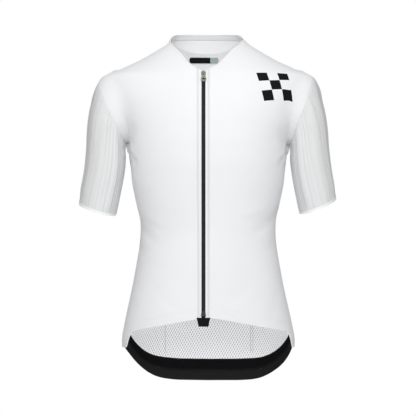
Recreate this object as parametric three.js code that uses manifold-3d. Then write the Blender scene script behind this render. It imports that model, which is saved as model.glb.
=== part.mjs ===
import * as THREE from 'three';
import { mergeVertices } from 'three/addons/utils/BufferGeometryUtils.js';
import Module from 'manifold-3d';

// A short-sleeved road-cycling jersey in its worn form, filled out and hollow.
// Millimetres. +Z is up and the wearer faces -Y, so the wearer's left is +X.
// The origin is between the shoulders, level with the sides of the neck.

// Cloth walls and gaps
const PANEL_WALL = 1.2;
const COLLAR_WALL = 1.6;
const BINDING_WALL = 1.0;
const GRIPPER_WALL = 1.5;
const CUFF_WALL = 1.4;
const POCKET_WALL = 1.0;
const LABEL_WALL = 1.0;
const SEAM_GAP = 0.3;
const LAY_GAP = 0.4;

// Hems and edges
const BODY_Y = 5;
const FRONT_HEM_Z = -553;
const FRONT_HEM_SAG = 34;
const FLAP_TURN = 12;
const FLAP_DROP = 33;
const SIDE_HEM_ANGLE = 100;
const SIDE_HEM_Z = -621;
const TAIL_Z = -703;
const TAIL_RISE = 82;
const GRIPPER_TALL = 21;
const TAIL_BAND_TOP = 46;
const BAND_PINCH = 0.1;
const PINCH_START = 0.3;
const WAIST_LINE_Z = -215;
const NECK_FRONT_Z = -63;
const NECK_BACK_Z = -14;
const NECK_SAG = 6;
const NECK_SAG_END = 0.7;

// Front zip
const ZIP_X = -9;
const ZIP_SLOT = 8;
const CHAIN_WIDE = 5.8;
const CHAIN_WALL = 1.1;
const CHAIN_SINK = 0.1;
const TAPE_WIDE = 13;
const TAPE_WALL = 1.0;
const TAPE_BEHIND = 0.5;
const ZIP_TOP_Z = -66;
const ZIP_FOOT_Z = -546;

// Slider and pull, measured down the chest from the slider's top
const SLIDER_TOP_Z = -63;
const SLIDER_LONG = 13;
const SLIDER_WIDE = 9.5;
const SLIDER_NARROW = 7.4;
const SLIDER_WALL = 1.3;
const SLIDER_LIFT = 0.35;
const BRIDGE_WIDE = 2.4;
const BRIDGE_START = 0.7;
const BRIDGE_END = 9;
const BRIDGE_BAR = 1;
const BRIDGE_TALL = 3.3;
const PULL_WALL = 1.2;
const PULL_LIFT = 0.45;
const PULL_NECK = 6.4;
const PULL_WIDE = 11;
const PULL_LONG = 23;
const HINGE_DOWN = 3;
const SLOT_HALF = 1.7;
const SLOT_END = 7;
const NECK_END = 8.5;
const PULL_HOLE = { up: 1.2, halfWide: 2.7, halfTall: 1.9 };

// Mesh steps
const COLUMNS = 12;
const TAIL_ROWS = 2;
const BODY_ROWS = 12;
const ARMHOLE_ROWS = 12;
const SHOULDER_ROWS = 8;
const SLEEVE_RINGS = 10;
const RIBS_PER_STEP = 3;
const RIB_RAISE = 0.8;
const RIB_FADE = 0.12;

// The jersey's body: half width, and reach to the front and back of BODY_Y
const BODY = table(['z', 'halfWidth', 'front', 'back', 'power'], [
  [30, 66, 30, 40, 2.0],
  [8, 76, 37, 47, 2.0],
  [2, 82, 41, 51, 2.0],
  [-9, 98, 50, 58, 2.0],
  [-18, 113, 55.5, 64, 2.0],
  [-35, 143, 66.5, 74.5, 2.05],
  [-45, 165, 72.5, 80, 2.05],
  [-57, 192, 80, 86, 2.1],
  [-62, 205, 83, 88.5, 2.1],
  [-70, 216, 87, 92, 2.1],
  [-90, 212, 96.5, 99, 2.15],
  [-110, 204, 104, 104, 2.2],
  [-139, 188, 112, 108, 2.25],
  [-170, 173, 118, 109, 2.3],
  [-204, 163, 122, 107, 2.3],
  [-240, 159.4, 122, 103, 2.3],
  [-279, 156, 118, 97, 2.3],
  [-328, 146.6, 112, 89.5, 2.3],
  [-365, 139, 108.5, 85, 2.3],
  [-385, 138.4, 107, 84, 2.3],
  [-412, 140.4, 106.3, 85, 2.3],
  [-451, 146.6, 106.5, 88, 2.3],
  [-500, 155.8, 108, 96, 2.3],
  [-537, 164, 109.3, 102.5, 2.3],
  [-574, 172, 110, 108, 2.3],
  [-605, 177, 110, 112, 2.3],
  [-650, 175, 110, 114.5, 2.3],
  [-710, 172, 110, 116, 2.3],
]);

// One sleeve's sections, alike on both sides
const ARM = table(['z', 'x', 'halfWidth', 'halfDepth', 'y'], [
  [-52, 189, 3, 6, 6],
  [-60, 190, 12, 22, 6],
  [-72, 193, 26, 34, 6],
  [-80, 194.5, 31, 39.5, 6],
  [-90, 196, 35, 44, 6],
  [-105, 197, 39, 50, 6],
  [-120, 198, 41, 54, 5.5],
  [-139, 201, 42, 57, 5],
  [-160, 204, 42, 58, 4.5],
  [-190, 206.5, 41.5, 56, 4],
  [-210, 207.3, 41.2, 55, 3.7],
  [-245, 209.2, 42, 53, 3],
  [-266, 212, 42, 51.5, 2.8],
  [-290, 216.5, 42, 50, 2.5],
  [-316, 221.7, 41.3, 48.3, 2.3],
  [-337, 225.6, 40.5, 47, 2],
  [-370, 232, 39, 46, 2],
]);

// How softly the sleeve runs into the body
const BLEND = table(['z', 'reach'], [
  [-50, 2],
  [-70, 12],
  [-100, 20],
  [-139, 26],
  [-165, 26],
  [-182, 18],
  [-195, 12],
  [-206, 6],
  [-216, 2],
  [-225, 0.5],
]);

// How far the tail's edge has risen, as shares: turn is 0 behind and 1 at the side seam
const TAIL = table(['turn', 'right', 'left'], [
  [0, 0, 0],
  [0.2, 0.012, 0.006],
  [0.35, 0.06, 0.035],
  [0.45, 0.128, 0.085],
  [0.55, 0.245, 0.185],
  [0.65, 0.405, 0.318],
  [0.75, 0.588, 0.473],
  [0.85, 0.775, 0.66],
  [1, 1, 1],
]);

// The two sides differ a little, as the jersey hangs. Each ring is a slanted plane,
// seen from the front as a line from its outer end (top) to its inner end (under).
// flapAngle is where the front's hem starts to drop to its side flap.
const RIGHT = {
  sign: -1,
  name: 'right',
  armhole: { topX: 227, topZ: -84, underX: 166, underZ: -202 },
  cuff: { topX: 262, topZ: -328, underX: 188.6, underZ: -350.6 },
  neckZ: 3,
  shoulderShift: 0,
  flapAngle: 58,
};
const LEFT = {
  sign: 1,
  name: 'left',
  armhole: { topX: 216, topZ: -72, underX: 164, underZ: -207 },
  cuff: { topX: 264.5, topZ: -315.7, underX: 188.6, underZ: -346.5 },
  neckZ: 8,
  shoulderShift: -4.5,
  flapAngle: 64,
};
const CUFF_TALL = 5.2;
const CUFF_TILT = 8;
const SHIFT_FADE = { top: -60, full: -110, low: -250 };

// Collar: w runs from the back centre (0) over the shoulder line (0.77) to the tip (1).
// Its top edge is near level behind the neck and comes down to meet the neckline.
const COLLAR = table(['w', 'topZ', 'least', 'inward'], [
  [0, 25.7, 2, 6],
  [0.28, 25.2, 2, 6],
  [0.45, 23.6, 2, 5.5],
  [0.55, 22.2, 2, 5],
  [0.65, 19, 2, 5],
  [0.73, 14, 3, 4.5],
  [0.77, 10.5, 3, 3],
  [0.8, 7, 3, 2.4],
  [0.88, -2, 2.6, 1.2],
  [1, -30, 2, 0.8],
]);
const COLLAR_TIP = 0.86;
const COLLAR_AXIS_X = -4.5;
const COLLAR_AXIS_Y = 12;
const COLLAR_ROWS = 4;
const COLLAR_BOW = 1.5;
const BINDING_TALL = 10.5;
const BINDING_SPAN = 0.72;
const BINDING_SHARE = 0.7;

// Neck label, on the inside of the back
const LABEL = { left: -39, right: 22, top: -20, bottom: -31, corner: 4, steps: 8 };

// Back pockets
const POCKET_COLUMNS = 11;
const POCKET_ROWS = 5;
const POCKET_BINDING_TALL = 9;

// Hem tab under the zip
const HEM_TAB = { topZ: -547, bottomZ: -568.5, topHalf: 13.25, bottomHalf: 9.2, wall: 1.2 };

// Zip foot, a small flared box stop
const ZIP_FOOT = { topZ: -540, bottomZ: -550.5, topHalf: 3.6, bottomHalf: 5, wall: 1.4 };

// The largest folds: soft ridges (+) and troughs (-) between two places on the cloth.
// side is the wearer's side, angle runs from the front centre, reach is the half width.
const FOLDS = rowsOf(['side', 'angleA', 'zA', 'angleB', 'zB', 'reach', 'height'], [
  [-1, 84, -212, 62, -176, 13, -3.2],
  [-1, 80, -226, 56, -204, 12, 2.0],
  [-1, 83, -242, 63, -236, 11, -1.8],
  [1, 84, -216, 60, -184, 13, -3.0],
  [1, 80, -232, 57, -214, 12, 2.2],
  [1, 84, -250, 66, -240, 10, -1.6],
  [-1, 97, -212, 118, -182, 13, -3.0],
  [-1, 99, -232, 122, -212, 12, 1.9],
  [1, 96, -216, 120, -178, 13, -3.2],
  [1, 100, -236, 121, -220, 12, 2.1],
  [1, 66, -330, 32, -350, 14, 1.8],
  [1, 78, -352, 44, -384, 13, -2.0],
  [-1, 76, -346, 45, -362, 13, 1.6],
  [-1, 84, -372, 52, -398, 14, -1.9],
  [-1, 104, -352, 138, -372, 14, 2.4],
  [-1, 100, -380, 146, -404, 13, -2.2],
  [1, 103, -344, 140, -380, 14, 2.2],
  [1, 99, -374, 150, -396, 13, -2.4],
]);

// Hem ripple: a slow wave in the cloth that fades out upwards
const RIPPLE = { height: 1.6, waves: 5, fadeTop: -470, full: -600, shift: 0.7 };

const COLOURS = {
  white: 0xf1f2f4,
  mesh: 0xe9eaec,
  rib: 0xebecee,
  black: 0x17181a,
  gripper: 0x232427,
  tape: 0x1b1c1e,
  metal: 0x83826f,
  label: 0x101112,
};

function table(names, rows) {
  const sorted = [...rows].sort((a, b) => a[0] - b[0]);
  const keys = sorted.map((row) => row[0]);
  const result = {};
  names.slice(1).forEach((name, index) => {
    result[name] = smoothCurve(keys, sorted.map((row) => row[index + 1]));
  });
  return result;
}

function rowsOf(names, rows) {
  return rows.map((row) => Object.fromEntries(names.map((name, index) => [name, row[index]])));
}

// A smooth curve through values that never overshoots them (monotone cubic)
function smoothCurve(keys, values) {
  const last = keys.length - 1;
  const steps = keys.slice(1).map((key, i) => key - keys[i]);
  const slopes = steps.map((step, i) => (values[i + 1] - values[i]) / step);
  const tangents = keys.map((_, i) => {
    if (i === 0) return slopes[0];
    if (i === last) return slopes[last - 1];
    if (slopes[i - 1] * slopes[i] <= 0) return 0;
    const before = 2 * steps[i] + steps[i - 1];
    const after = steps[i] + 2 * steps[i - 1];
    return (before + after) / (before / slopes[i - 1] + after / slopes[i]);
  });
  return (key) => {
    if (key <= keys[0]) return values[0];
    if (key >= keys[last]) return values[last];
    let i = 0;
    while (key > keys[i + 1]) i += 1;
    const t = (key - keys[i]) / steps[i];
    const t2 = t * t;
    const t3 = t2 * t;
    return values[i] * (2 * t3 - 3 * t2 + 1)
      + values[i + 1] * (3 * t2 - 2 * t3)
      + steps[i] * (tangents[i] * (t3 - 2 * t2 + t) + tangents[i + 1] * (t3 - t2));
  };
}

const lerp = THREE.MathUtils.lerp;
const clamp = THREE.MathUtils.clamp;
const radians = THREE.MathUtils.degToRad;
const point = (x, y, z) => new THREE.Vector3(x, y, z);

// Signed distance, near enough, from a rounded section: negative inside
function sectionGap(dx, dy, halfWidth, depth, power) {
  const across = Math.abs(dx) / halfWidth;
  const along = Math.abs(dy) / depth;
  const ratio = (across ** power + along ** power) ** (1 / power);
  return Math.hypot(dx, dy) * (1 - 1 / Math.max(ratio, 1e-6));
}

function bodyGap(p) {
  const dy = p.y - BODY_Y;
  const depth = dy < 0 ? BODY.front(p.z) : BODY.back(p.z);
  return sectionGap(p.x, dy, BODY.halfWidth(p.z), depth, BODY.power(p.z));
}

// How far the sleeve's middle lies from the origin, to either side
function armX(side, z) {
  const { top, full, low } = SHIFT_FADE;
  const fade = z > full ? (top - z) / (top - full) : (z - low) / (full - low);
  return ARM.x(z) + side.shoulderShift * clamp(fade, 0, 1);
}

function armGap(p) {
  const dx = Math.abs(p.x) - armX(p.x < 0 ? RIGHT : LEFT, p.z);
  return sectionGap(dx, p.y - ARM.y(p.z), ARM.halfWidth(p.z), ARM.halfDepth(p.z), 2);
}

// The whole jersey's form: body and sleeves, run together softly at the armholes
function formGap(p) {
  const body = bodyGap(p);
  const arm = armGap(p);
  const reach = BLEND.reach(p.z);
  const overlap = Math.max(reach - Math.abs(body - arm), 0);
  return Math.min(body, arm) - (overlap * overlap) / (4 * reach);
}

function formNormal(p) {
  const step = 0.5;
  const slope = (axis) => formGap(p.clone().addScaledVector(axis, step))
    - formGap(p.clone().addScaledVector(axis, -step));
  return point(slope(point(1, 0, 0)), slope(point(0, 1, 0)), slope(point(0, 0, 1))).normalize();
}

// First crossing of the form on a straight way out of it, no further than limit
function wayOut(from, direction, start, limit) {
  const at = (distance) => from.clone().addScaledVector(direction, distance);
  const stride = 2;
  let far = start;
  while (far < limit && formGap(at(far)) < 0) far += stride;
  if (far >= limit) return at(limit);
  let near = Math.max(far - stride, 0);
  for (let i = 0; i < 24; i += 1) {
    const middle = (near + far) / 2;
    if (formGap(at(middle)) < 0) near = middle;
    else far = middle;
  }
  return at((near + far) / 2);
}

const REACH = 400;

// Direction of an angle on the body's section, 0 at the front, 90 at the side, 180 behind
function bodyDirection(side, angle, z) {
  const depth = angle < 90 ? BODY.front(z) : BODY.back(z);
  const bend = 2 / BODY.power(z);
  const across = Math.sin(radians(angle));
  const along = Math.cos(radians(angle));
  const x = BODY.halfWidth(z) * across ** bend;
  const y = -depth * Math.sign(along) * Math.abs(along) ** bend;
  return point(side * x, y, 0);
}

function bodyPoint(side, angle, z) {
  const way = bodyDirection(side, angle, z);
  const inside = way.length() * 0.5;
  return wayOut(point(0, BODY_Y, z), way.normalize(), inside, REACH);
}

// The angle on the body's section at which a point lies
function bodyAngle(p) {
  const dy = BODY_Y - p.y;
  const depth = dy > 0 ? BODY.front(p.z) : BODY.back(p.z);
  const power = BODY.power(p.z) / 2;
  const across = (Math.abs(p.x) / BODY.halfWidth(p.z)) ** power;
  const along = Math.sign(dy) * (Math.abs(dy) / depth) ** power;
  return THREE.MathUtils.radToDeg(Math.atan2(across, along));
}

function facePoint(x, z, way) {
  return wayOut(point(x, BODY_Y, z), point(0, way, 0), 1, REACH);
}

const FOLD_LINES = FOLDS.map((fold) => ({
  line: new THREE.Line3(
    bodyPoint(fold.side, fold.angleA, fold.zA),
    bodyPoint(fold.side, fold.angleB, fold.zB),
  ),
  reach: fold.reach,
  height: fold.height,
}));

// How far the cloth stands off the plain form at a place
function foldHeight(p) {
  const nearest = new THREE.Vector3();
  let height = 0;
  FOLD_LINES.forEach(({ line, reach, height: full }) => {
    const along = line.closestPointToPointParameter(p, true);
    line.at(along, nearest);
    const far = nearest.distanceTo(p) / reach;
    const taper = 0.35 + 0.65 * Math.sin(Math.PI * clamp(0.15 + 0.7 * along, 0, 1));
    height += full * taper * Math.exp(-far * far);
  });
  const low = clamp((RIPPLE.fadeTop - p.z) / (RIPPLE.fadeTop - RIPPLE.full), 0, 1);
  const turn = Math.atan2(p.y - BODY_Y, p.x);
  const wave = Math.sin(RIPPLE.waves * turn + RIPPLE.shift) * Math.sin(2 * turn + RIPPLE.shift);
  return height + RIPPLE.height * low * low * wave;
}

// A place on the cloth: its outer point and the way the wall faces
function cloth(p) {
  const normal = formNormal(p);
  return { p: p.clone().addScaledVector(normal, foldHeight(p)), n: normal };
}

function moved(node, outward) {
  return { p: node.p.clone().addScaledVector(node.n, outward), n: node.n };
}

function between(a, b, share) {
  return { p: a.p.clone().lerp(b.p, share), n: a.n.clone().lerp(b.n, share) };
}

// Edge points move half a seam gap into their own piece, along its own grid lines
function inset(grid, edges) {
  const rows = grid.length - 1;
  const columns = grid[0].length - 1;
  const shift = grid.map((row) => row.map(() => new THREE.Vector3()));
  const push = (r, c, r2, c2) => {
    const way = grid[r2][c2].p.clone().sub(grid[r][c].p);
    if (way.length() > 1e-6) shift[r][c].addScaledVector(way.normalize(), SEAM_GAP / 2);
  };
  for (let c = 0; c <= columns; c += 1) {
    if (edges.first) push(0, c, 1, c);
    if (edges.last) push(rows, c, rows - 1, c);
  }
  for (let r = 0; r <= rows; r += 1) {
    if (edges.start) push(r, 0, r, 1);
    if (edges.end) push(r, columns, r, columns - 1);
  }
  return grid.map((row, r) => row.map((node, c) => ({ p: node.p.clone().add(shift[r][c]), n: node.n })));
}

// A wall of cloth under one or more grids of outer points. raise lifts outer points alone.
function wall(grids, thickness, raise = () => 0) {
  const outer = [];
  const inner = [];
  const known = new Map();
  const vertex = (node, r, c) => {
    const key = node.p.toArray().map((value) => value.toFixed(3)).join(' ');
    if (!known.has(key)) {
      known.set(key, outer.length);
      outer.push(moved(node, raise(r, c)).p);
      inner.push(moved(node, -thickness).p);
    }
    return known.get(key);
  };
  const faces = [];
  const add = (a, b, c) => {
    if (a !== b && b !== c && c !== a) faces.push([a, b, c]);
  };
  grids.forEach((grid) => {
    const ids = grid.map((row, r) => row.map((node, c) => vertex(node, r, c)));
    for (let r = 0; r + 1 < ids.length; r += 1) {
      for (let c = 0; c + 1 < ids[0].length; c += 1) {
        add(ids[r][c], ids[r][c + 1], ids[r + 1][c + 1]);
        add(ids[r][c], ids[r + 1][c + 1], ids[r + 1][c]);
      }
    }
  });
  const count = outer.length;
  const edges = new Set(faces.flatMap(([a, b, c]) => [`${a} ${b}`, `${b} ${c}`, `${c} ${a}`]));
  const triangles = [];
  faces.forEach(([a, b, c]) => {
    triangles.push(a, b, c, a + count, c + count, b + count);
  });
  edges.forEach((edge) => {
    const [a, b] = edge.split(' ').map(Number);
    if (!edges.has(`${b} ${a}`)) triangles.push(b, a, a + count, b, a + count, b + count);
  });
  return solid([...outer, ...inner], triangles);
}

// A closed geometry with its faces turned outwards
function solid(points, triangles) {
  let volume = 0;
  for (let i = 0; i < triangles.length; i += 3) {
    const [a, b, c] = triangles.slice(i, i + 3).map((id) => points[id]);
    volume += a.dot(b.clone().cross(c));
  }
  const order = volume < 0 ? [0, 2, 1] : [0, 1, 2];
  const index = [];
  for (let i = 0; i < triangles.length; i += 3) order.forEach((k) => index.push(triangles[i + k]));
  const geometry = new THREE.BufferGeometry();
  geometry.setAttribute('position', new THREE.Float32BufferAttribute(points.flatMap((p) => p.toArray()), 3));
  geometry.setIndex(index);
  geometry.computeVertexNormals();
  return geometry;
}

// A sleeve's rings: share 0 is the armhole, 1 the bottom of the cuff
function ringPlane(side, share) {
  const { armhole, cuff } = side;
  const lean = (ring) => Math.atan2(ring.topZ - ring.underZ, ring.topX - ring.underX);
  const centreX = (ring) => (ring.topX + ring.underX) / 2;
  const centreZ = (ring) => (ring.topZ + ring.underZ) / 2;
  const angle = lerp(lean(armhole), lean(cuff), share ** 0.85);
  const z = lerp(centreZ(armhole), centreZ(cuff), share);
  const offTop = centreX(armhole) - armX(side, centreZ(armhole));
  const offCuff = centreX(cuff) - armX(side, centreZ(cuff));
  const x = armX(side, z) + lerp(offTop, offCuff, share);
  const tilt = radians(CUFF_TILT * share * share);
  const across = point(side.sign * Math.sin(angle), 0, -Math.cos(angle));
  return {
    centre: point(side.sign * x, ARM.y(z), z),
    up: point(side.sign * Math.cos(angle), 0, Math.sin(angle)),
    ahead: point(0, -Math.cos(tilt), 0).addScaledVector(across, Math.sin(tilt)),
    under: Math.hypot(centreX(armhole) - armhole.underX, centreZ(armhole) - armhole.underZ),
  };
}

// turn 0 is on top of the shoulder, 90 at the front, 180 under the arm, 270 behind
function ringPoint(side, share, turn) {
  const { centre, up, ahead, under } = ringPlane(side, share);
  const way = up.clone().multiplyScalar(Math.cos(radians(turn)));
  way.addScaledVector(ahead, Math.sin(radians(turn)));
  const down = -Math.cos(radians(turn));
  const limit = share === 0 && down > 0.1 ? under / down : REACH;
  return cloth(wayOut(centre, way, 2, limit));
}

const ARMHOLE_STEPS = 2 * ARMHOLE_ROWS;

function armholeRing(side) {
  return Array.from({ length: ARMHOLE_STEPS }, (_, i) => ringPoint(side, 0, (360 * i) / ARMHOLE_STEPS));
}

// Armhole point of a panel's row: 0 under the arm, ARMHOLE_ROWS on top of the shoulder
function armholeNode(ring, row, front) {
  const steps = ARMHOLE_ROWS - row;
  return ring[(front ? steps : ARMHOLE_STEPS - steps) % ARMHOLE_STEPS];
}

// The shoulder seam runs along the widest line of the form, from the armhole to the neck
function shoulderPoint(side, top, share) {
  const neck = bodyPoint(side.sign, 90, side.neckZ);
  const target = lerp(Math.abs(top.p.x), Math.abs(neck.x), share);
  let low = top.p.z;
  let high = side.neckZ;
  for (let i = 0; i < 24; i += 1) {
    const z = (low + high) / 2;
    if (Math.abs(bodyPoint(side.sign, 90, z).x) > target) low = z;
    else high = z;
  }
  return cloth(bodyPoint(side.sign, 90, (low + high) / 2));
}

const NECK_TURN = 84;

function necklinePoint(side, share, front) {
  const nearX = front ? ZIP_X + (side.sign * ZIP_SLOT) / 2 : 0;
  const farX = side.sign * BODY.halfWidth(side.neckZ) * Math.sin(radians(NECK_TURN));
  const sag = NECK_SAG * Math.sin(Math.PI * Math.min(share / NECK_SAG_END, 1)) ** 2;
  const z = front
    ? lerp(NECK_FRONT_Z, side.neckZ, share) - sag
    : lerp(NECK_BACK_Z, side.neckZ, share * share);
  return cloth(facePoint(lerp(nearX, farX, share), z, front ? -1 : 1));
}

// One row of a panel: from its inner end to its outer end, even in angle
function panelRow(side, start, end, zAt) {
  const from = bodyAngle(start.base);
  const to = bodyAngle(end.base);
  return Array.from({ length: COLUMNS + 1 }, (_, c) => {
    if (c === 0) return start.node;
    if (c === COLUMNS) return end.node;
    const share = c / COLUMNS;
    const angle = lerp(from, to, share);
    return cloth(bodyPoint(side.sign, angle, zAt(share, angle)));
  });
}

const placed = (base) => ({ base, node: cloth(base) });
const kept = (node) => ({ base: node.p, node });

function frontHemZ(side, angle) {
  const flap = THREE.MathUtils.smoothstep(angle, side.flapAngle, side.flapAngle + FLAP_TURN);
  return FRONT_HEM_Z - FRONT_HEM_SAG * Math.sin(radians(angle)) - FLAP_DROP * flap;
}

const tailTurn = (angle) => Math.max(180 - angle, 0) / (180 - SIDE_HEM_ANGLE);

function tailHemZ(side, angle) {
  return TAIL_Z + TAIL_RISE * TAIL[side.name](tailTurn(angle));
}

// The tail band and gripper are a little narrower where they slant up to the side
function bandWidth(angle) {
  const share = clamp((tailTurn(angle) - PINCH_START) / (1 - PINCH_START), 0, 1);
  return TAIL_BAND_TOP * (1 - BAND_PINCH * Math.sin(Math.PI * share) ** 2);
}

// Height shares of the body rows, where the gripper and the tail band end at the side
function bodyShares(side) {
  const tall = side.armhole.underZ - SIDE_HEM_Z;
  const band = TAIL_BAND_TOP / tall;
  const even = Array.from({ length: BODY_ROWS }, (_, i) => band + ((1 - band) * (i + 1)) / BODY_ROWS);
  return [0, GRIPPER_TALL / tall, band, ...even];
}

function bodyRow(side, share, front) {
  const sideZ = lerp(SIDE_HEM_Z, side.armhole.underZ, share);
  const sideAngle = lerp(SIDE_HEM_ANGLE, 90, share);
  const level = (across) => lerp(WAIST_LINE_Z, side.armhole.underZ, across * across);
  const band = TAIL_BAND_TOP / (side.armhole.underZ - SIDE_HEM_Z);
  const bandShare = Math.min(share, band) / band;
  const above = Math.max(share - band, 0) / (1 - band);
  const zAt = (across, angle) => {
    if (front) return lerp(frontHemZ(side, angle), level(across), share);
    return lerp(tailHemZ(side, angle) + bandWidth(angle) * bandShare, level(across), above);
  };
  const startAngle = front ? 0 : 180;
  const startX = front ? ZIP_X + (side.sign * ZIP_SLOT) / 2 : 0;
  const start = placed(facePoint(startX, zAt(0, startAngle), front ? -1 : 1));
  return panelRow(side, start, placed(bodyPoint(side.sign, sideAngle, sideZ)), zAt);
}

function armholeRow(side, ring, row, front) {
  const share = row / ARMHOLE_ROWS;
  const topZ = front ? NECK_FRONT_Z : NECK_BACK_Z;
  const startZ = lerp(WAIST_LINE_Z, topZ, share);
  const startX = front ? ZIP_X + (side.sign * ZIP_SLOT) / 2 : 0;
  const start = placed(facePoint(startX, startZ, front ? -1 : 1));
  const end = kept(armholeNode(ring, row, front));
  return panelRow(side, start, end, (across) => lerp(startZ, end.base.z, across));
}

function shoulderRow(side, top, share, front) {
  const start = kept(necklinePoint(side, share, front));
  const end = kept(shoulderPoint(side, top, share));
  return panelRow(side, start, end, (across) => lerp(start.base.z, end.base.z, across));
}

// All rows of half a front or back, from the hem to the side of the neck
function panelGrid(side, ring, front) {
  const top = ring[0];
  const under = ring[ARMHOLE_ROWS];
  const rows = bodyShares(side).map((share) => bodyRow(side, share, front));
  rows[rows.length - 1][COLUMNS] = under;
  for (let row = 1; row <= ARMHOLE_ROWS; row += 1) rows.push(armholeRow(side, ring, row, front));
  for (let row = 1; row <= SHOULDER_ROWS; row += 1) {
    rows.push(shoulderRow(side, top, row / SHOULDER_ROWS, front));
  }
  return rows;
}

// Three outer points on each chord of the armhole, so that sleeve and panels meet
function chordRing(ring, count) {
  return Array.from({ length: ring.length * count + 1 }, (_, i) => {
    const step = Math.floor(i / count);
    const a = ring[step % ring.length];
    const b = ring[(step + 1) % ring.length];
    return between(a, b, (i % count) / count);
  });
}

function sleeveRing(side, share, steps) {
  const ring = Array.from({ length: steps }, (_, i) => ringPoint(side, share, (360 * i) / steps));
  return [...ring, ring[0]];
}

function sleeve(side, ring) {
  const cuffShare = 1 - CUFF_TALL / sleeveLength(side);
  const coarse = sleeveRing(side, cuffShare, ARMHOLE_STEPS).slice(0, -1);
  const grid = Array.from({ length: SLEEVE_RINGS + 1 }, (_, r) => {
    if (r === 0) return chordRing(ring, RIBS_PER_STEP);
    if (r === SLEEVE_RINGS) return chordRing(coarse, RIBS_PER_STEP);
    return sleeveRing(side, (cuffShare * r) / SLEEVE_RINGS, ARMHOLE_STEPS * RIBS_PER_STEP);
  });
  const raise = (r, c) => {
    const share = r / SLEEVE_RINGS;
    const fade = clamp(Math.min(share, 1 - share) / RIB_FADE, 0, 1);
    return c % 2 === 1 ? RIB_RAISE * fade : 0;
  };
  return wall([inset(grid, { first: true, last: true })], PANEL_WALL, raise);
}

function sleeveLength(side) {
  return ringPlane(side, 0).centre.distanceTo(ringPlane(side, 1).centre);
}

function cuff(side) {
  const cuffShare = 1 - CUFF_TALL / sleeveLength(side);
  const grid = [cuffShare, 1].map((share) => sleeveRing(side, share, ARMHOLE_STEPS));
  return wall([inset(grid, { first: true })], CUFF_WALL);
}

// The neckline's outer points from the back centre over the shoulder line to the tip
function collarBase(halves) {
  const neckRows = (grid) => grid.slice(-SHOULDER_ROWS - 1).map((row) => row[0]);
  const behind = neckRows(halves.back);
  const ahead = neckRows(halves.front).reverse();
  const tipStep = (1 - COLLAR_TIP) * SHOULDER_ROWS;
  const whole = Math.floor(tipStep);
  const tip = between(ahead[whole], ahead[whole + 1], tipStep - whole);
  const ridge = halves.back[halves.back.length - 1][COLUMNS];
  return [...behind, ridge, ...ahead.slice(0, whole + 1), tip];
}

// Half the collar as columns: w, its seam point, how far it rises and leans in, and its facing
function collarColumns(halves) {
  const base = collarBase(halves);
  const along = [0];
  base.slice(1).forEach((node, i) => along.push(along[i] + node.p.distanceTo(base[i].p)));
  return base.map((node, i) => {
    const w = along[i] / along[along.length - 1];
    const rise = Math.max(COLLAR.topZ(w) - node.p.z, COLLAR.least(w));
    const lean = COLLAR.inward(w);
    const inward = point(COLLAR_AXIS_X - node.p.x, COLLAR_AXIS_Y - node.p.y, 0).normalize();
    const up = inward.clone().multiplyScalar(lean).add(point(0, 0, rise)).normalize();
    const outward = inward.clone().multiplyScalar(-rise).add(point(0, 0, lean)).normalize();
    return { w, seam: node.p, rise, lean, inward, up, outward };
  });
}

// A place on the collar's outer face: high 0 at the seam, 1 at the top edge
function collarNode(column, high) {
  const fullRise = COLLAR.topZ(0) - NECK_BACK_Z;
  const bow = COLLAR_BOW * Math.sin(Math.PI * high) * (column.rise / fullRise);
  const p = column.seam.clone().addScaledVector(column.up, SEAM_GAP * (1 - high));
  p.addScaledVector(column.inward, column.lean * high);
  p.z += column.rise * high;
  return { p: p.addScaledVector(column.outward, bow), n: column.outward };
}

// Rows across both halves, from the wearer's right tip round the back to the left tip
function collarRows(right, left, heights) {
  const columns = [...right.slice(1).reverse(), ...left];
  return heights.map((heightOf) => columns.map((column) => collarNode(column, heightOf(column))));
}

function collar(right, left) {
  const steps = Array.from({ length: COLLAR_ROWS }, (_, i) => i / (COLLAR_ROWS - 1));
  return wall([collarRows(right, left, steps.map((high) => () => high))], COLLAR_WALL);
}

function collarBinding(right, left) {
  const near = (columns) => columns.filter((column) => column.w <= BINDING_SPAN);
  const share = (column) => Math.min(BINDING_TALL / column.rise, BINDING_SHARE);
  const heights = [(column) => 1 - share(column), (column) => 1 - share(column) / 2, () => 1];
  const rows = collarRows(near(right), near(left), heights);
  const inside = -(COLLAR_WALL + LAY_GAP);
  return wall([rows.map((row) => row.map((node) => moved(node, inside)))], BINDING_WALL);
}

// Two halves that share their centre column, facing the same way
function joined(right, left) {
  return [right.map((row) => [...row].reverse()), left];
}

function frontPanel(grid) {
  return wall([inset(grid, { end: true })], PANEL_WALL);
}

function backPiece(right, left, firstRow, lastRow, edges, thickness) {
  const part = (grid) => inset(grid.slice(firstRow, lastRow + 1), { end: true, ...edges });
  return wall(joined(part(right), part(left)), thickness);
}

// Pocket cloth lies on the back, made from the back's own points
function pocketRows(grid) {
  const mouthRow = TAIL_ROWS + POCKET_ROWS;
  const tall = grid[mouthRow][0].p.z - grid[mouthRow - 1][0].p.z;
  const share = 1 - POCKET_BINDING_TALL / tall;
  const rows = grid.slice(TAIL_ROWS, mouthRow).map((row) => row.slice(0, POCKET_COLUMNS + 1));
  const below = grid[mouthRow - 1].slice(0, POCKET_COLUMNS + 1);
  const mouth = grid[mouthRow].slice(0, POCKET_COLUMNS + 1);
  const seam = below.map((node, c) => between(node, mouth[c], share));
  return { panel: [...rows, seam], binding: [seam, mouth] };
}

function pocketPiece(right, left, part, edges, thickness) {
  const lift = (grid) => grid.map((row) => row.map((node) => moved(node, LAY_GAP + thickness)));
  const half = (grid) => inset(lift(pocketRows(grid)[part]), edges);
  return wall(joined(half(right), half(left)), thickness);
}

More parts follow.
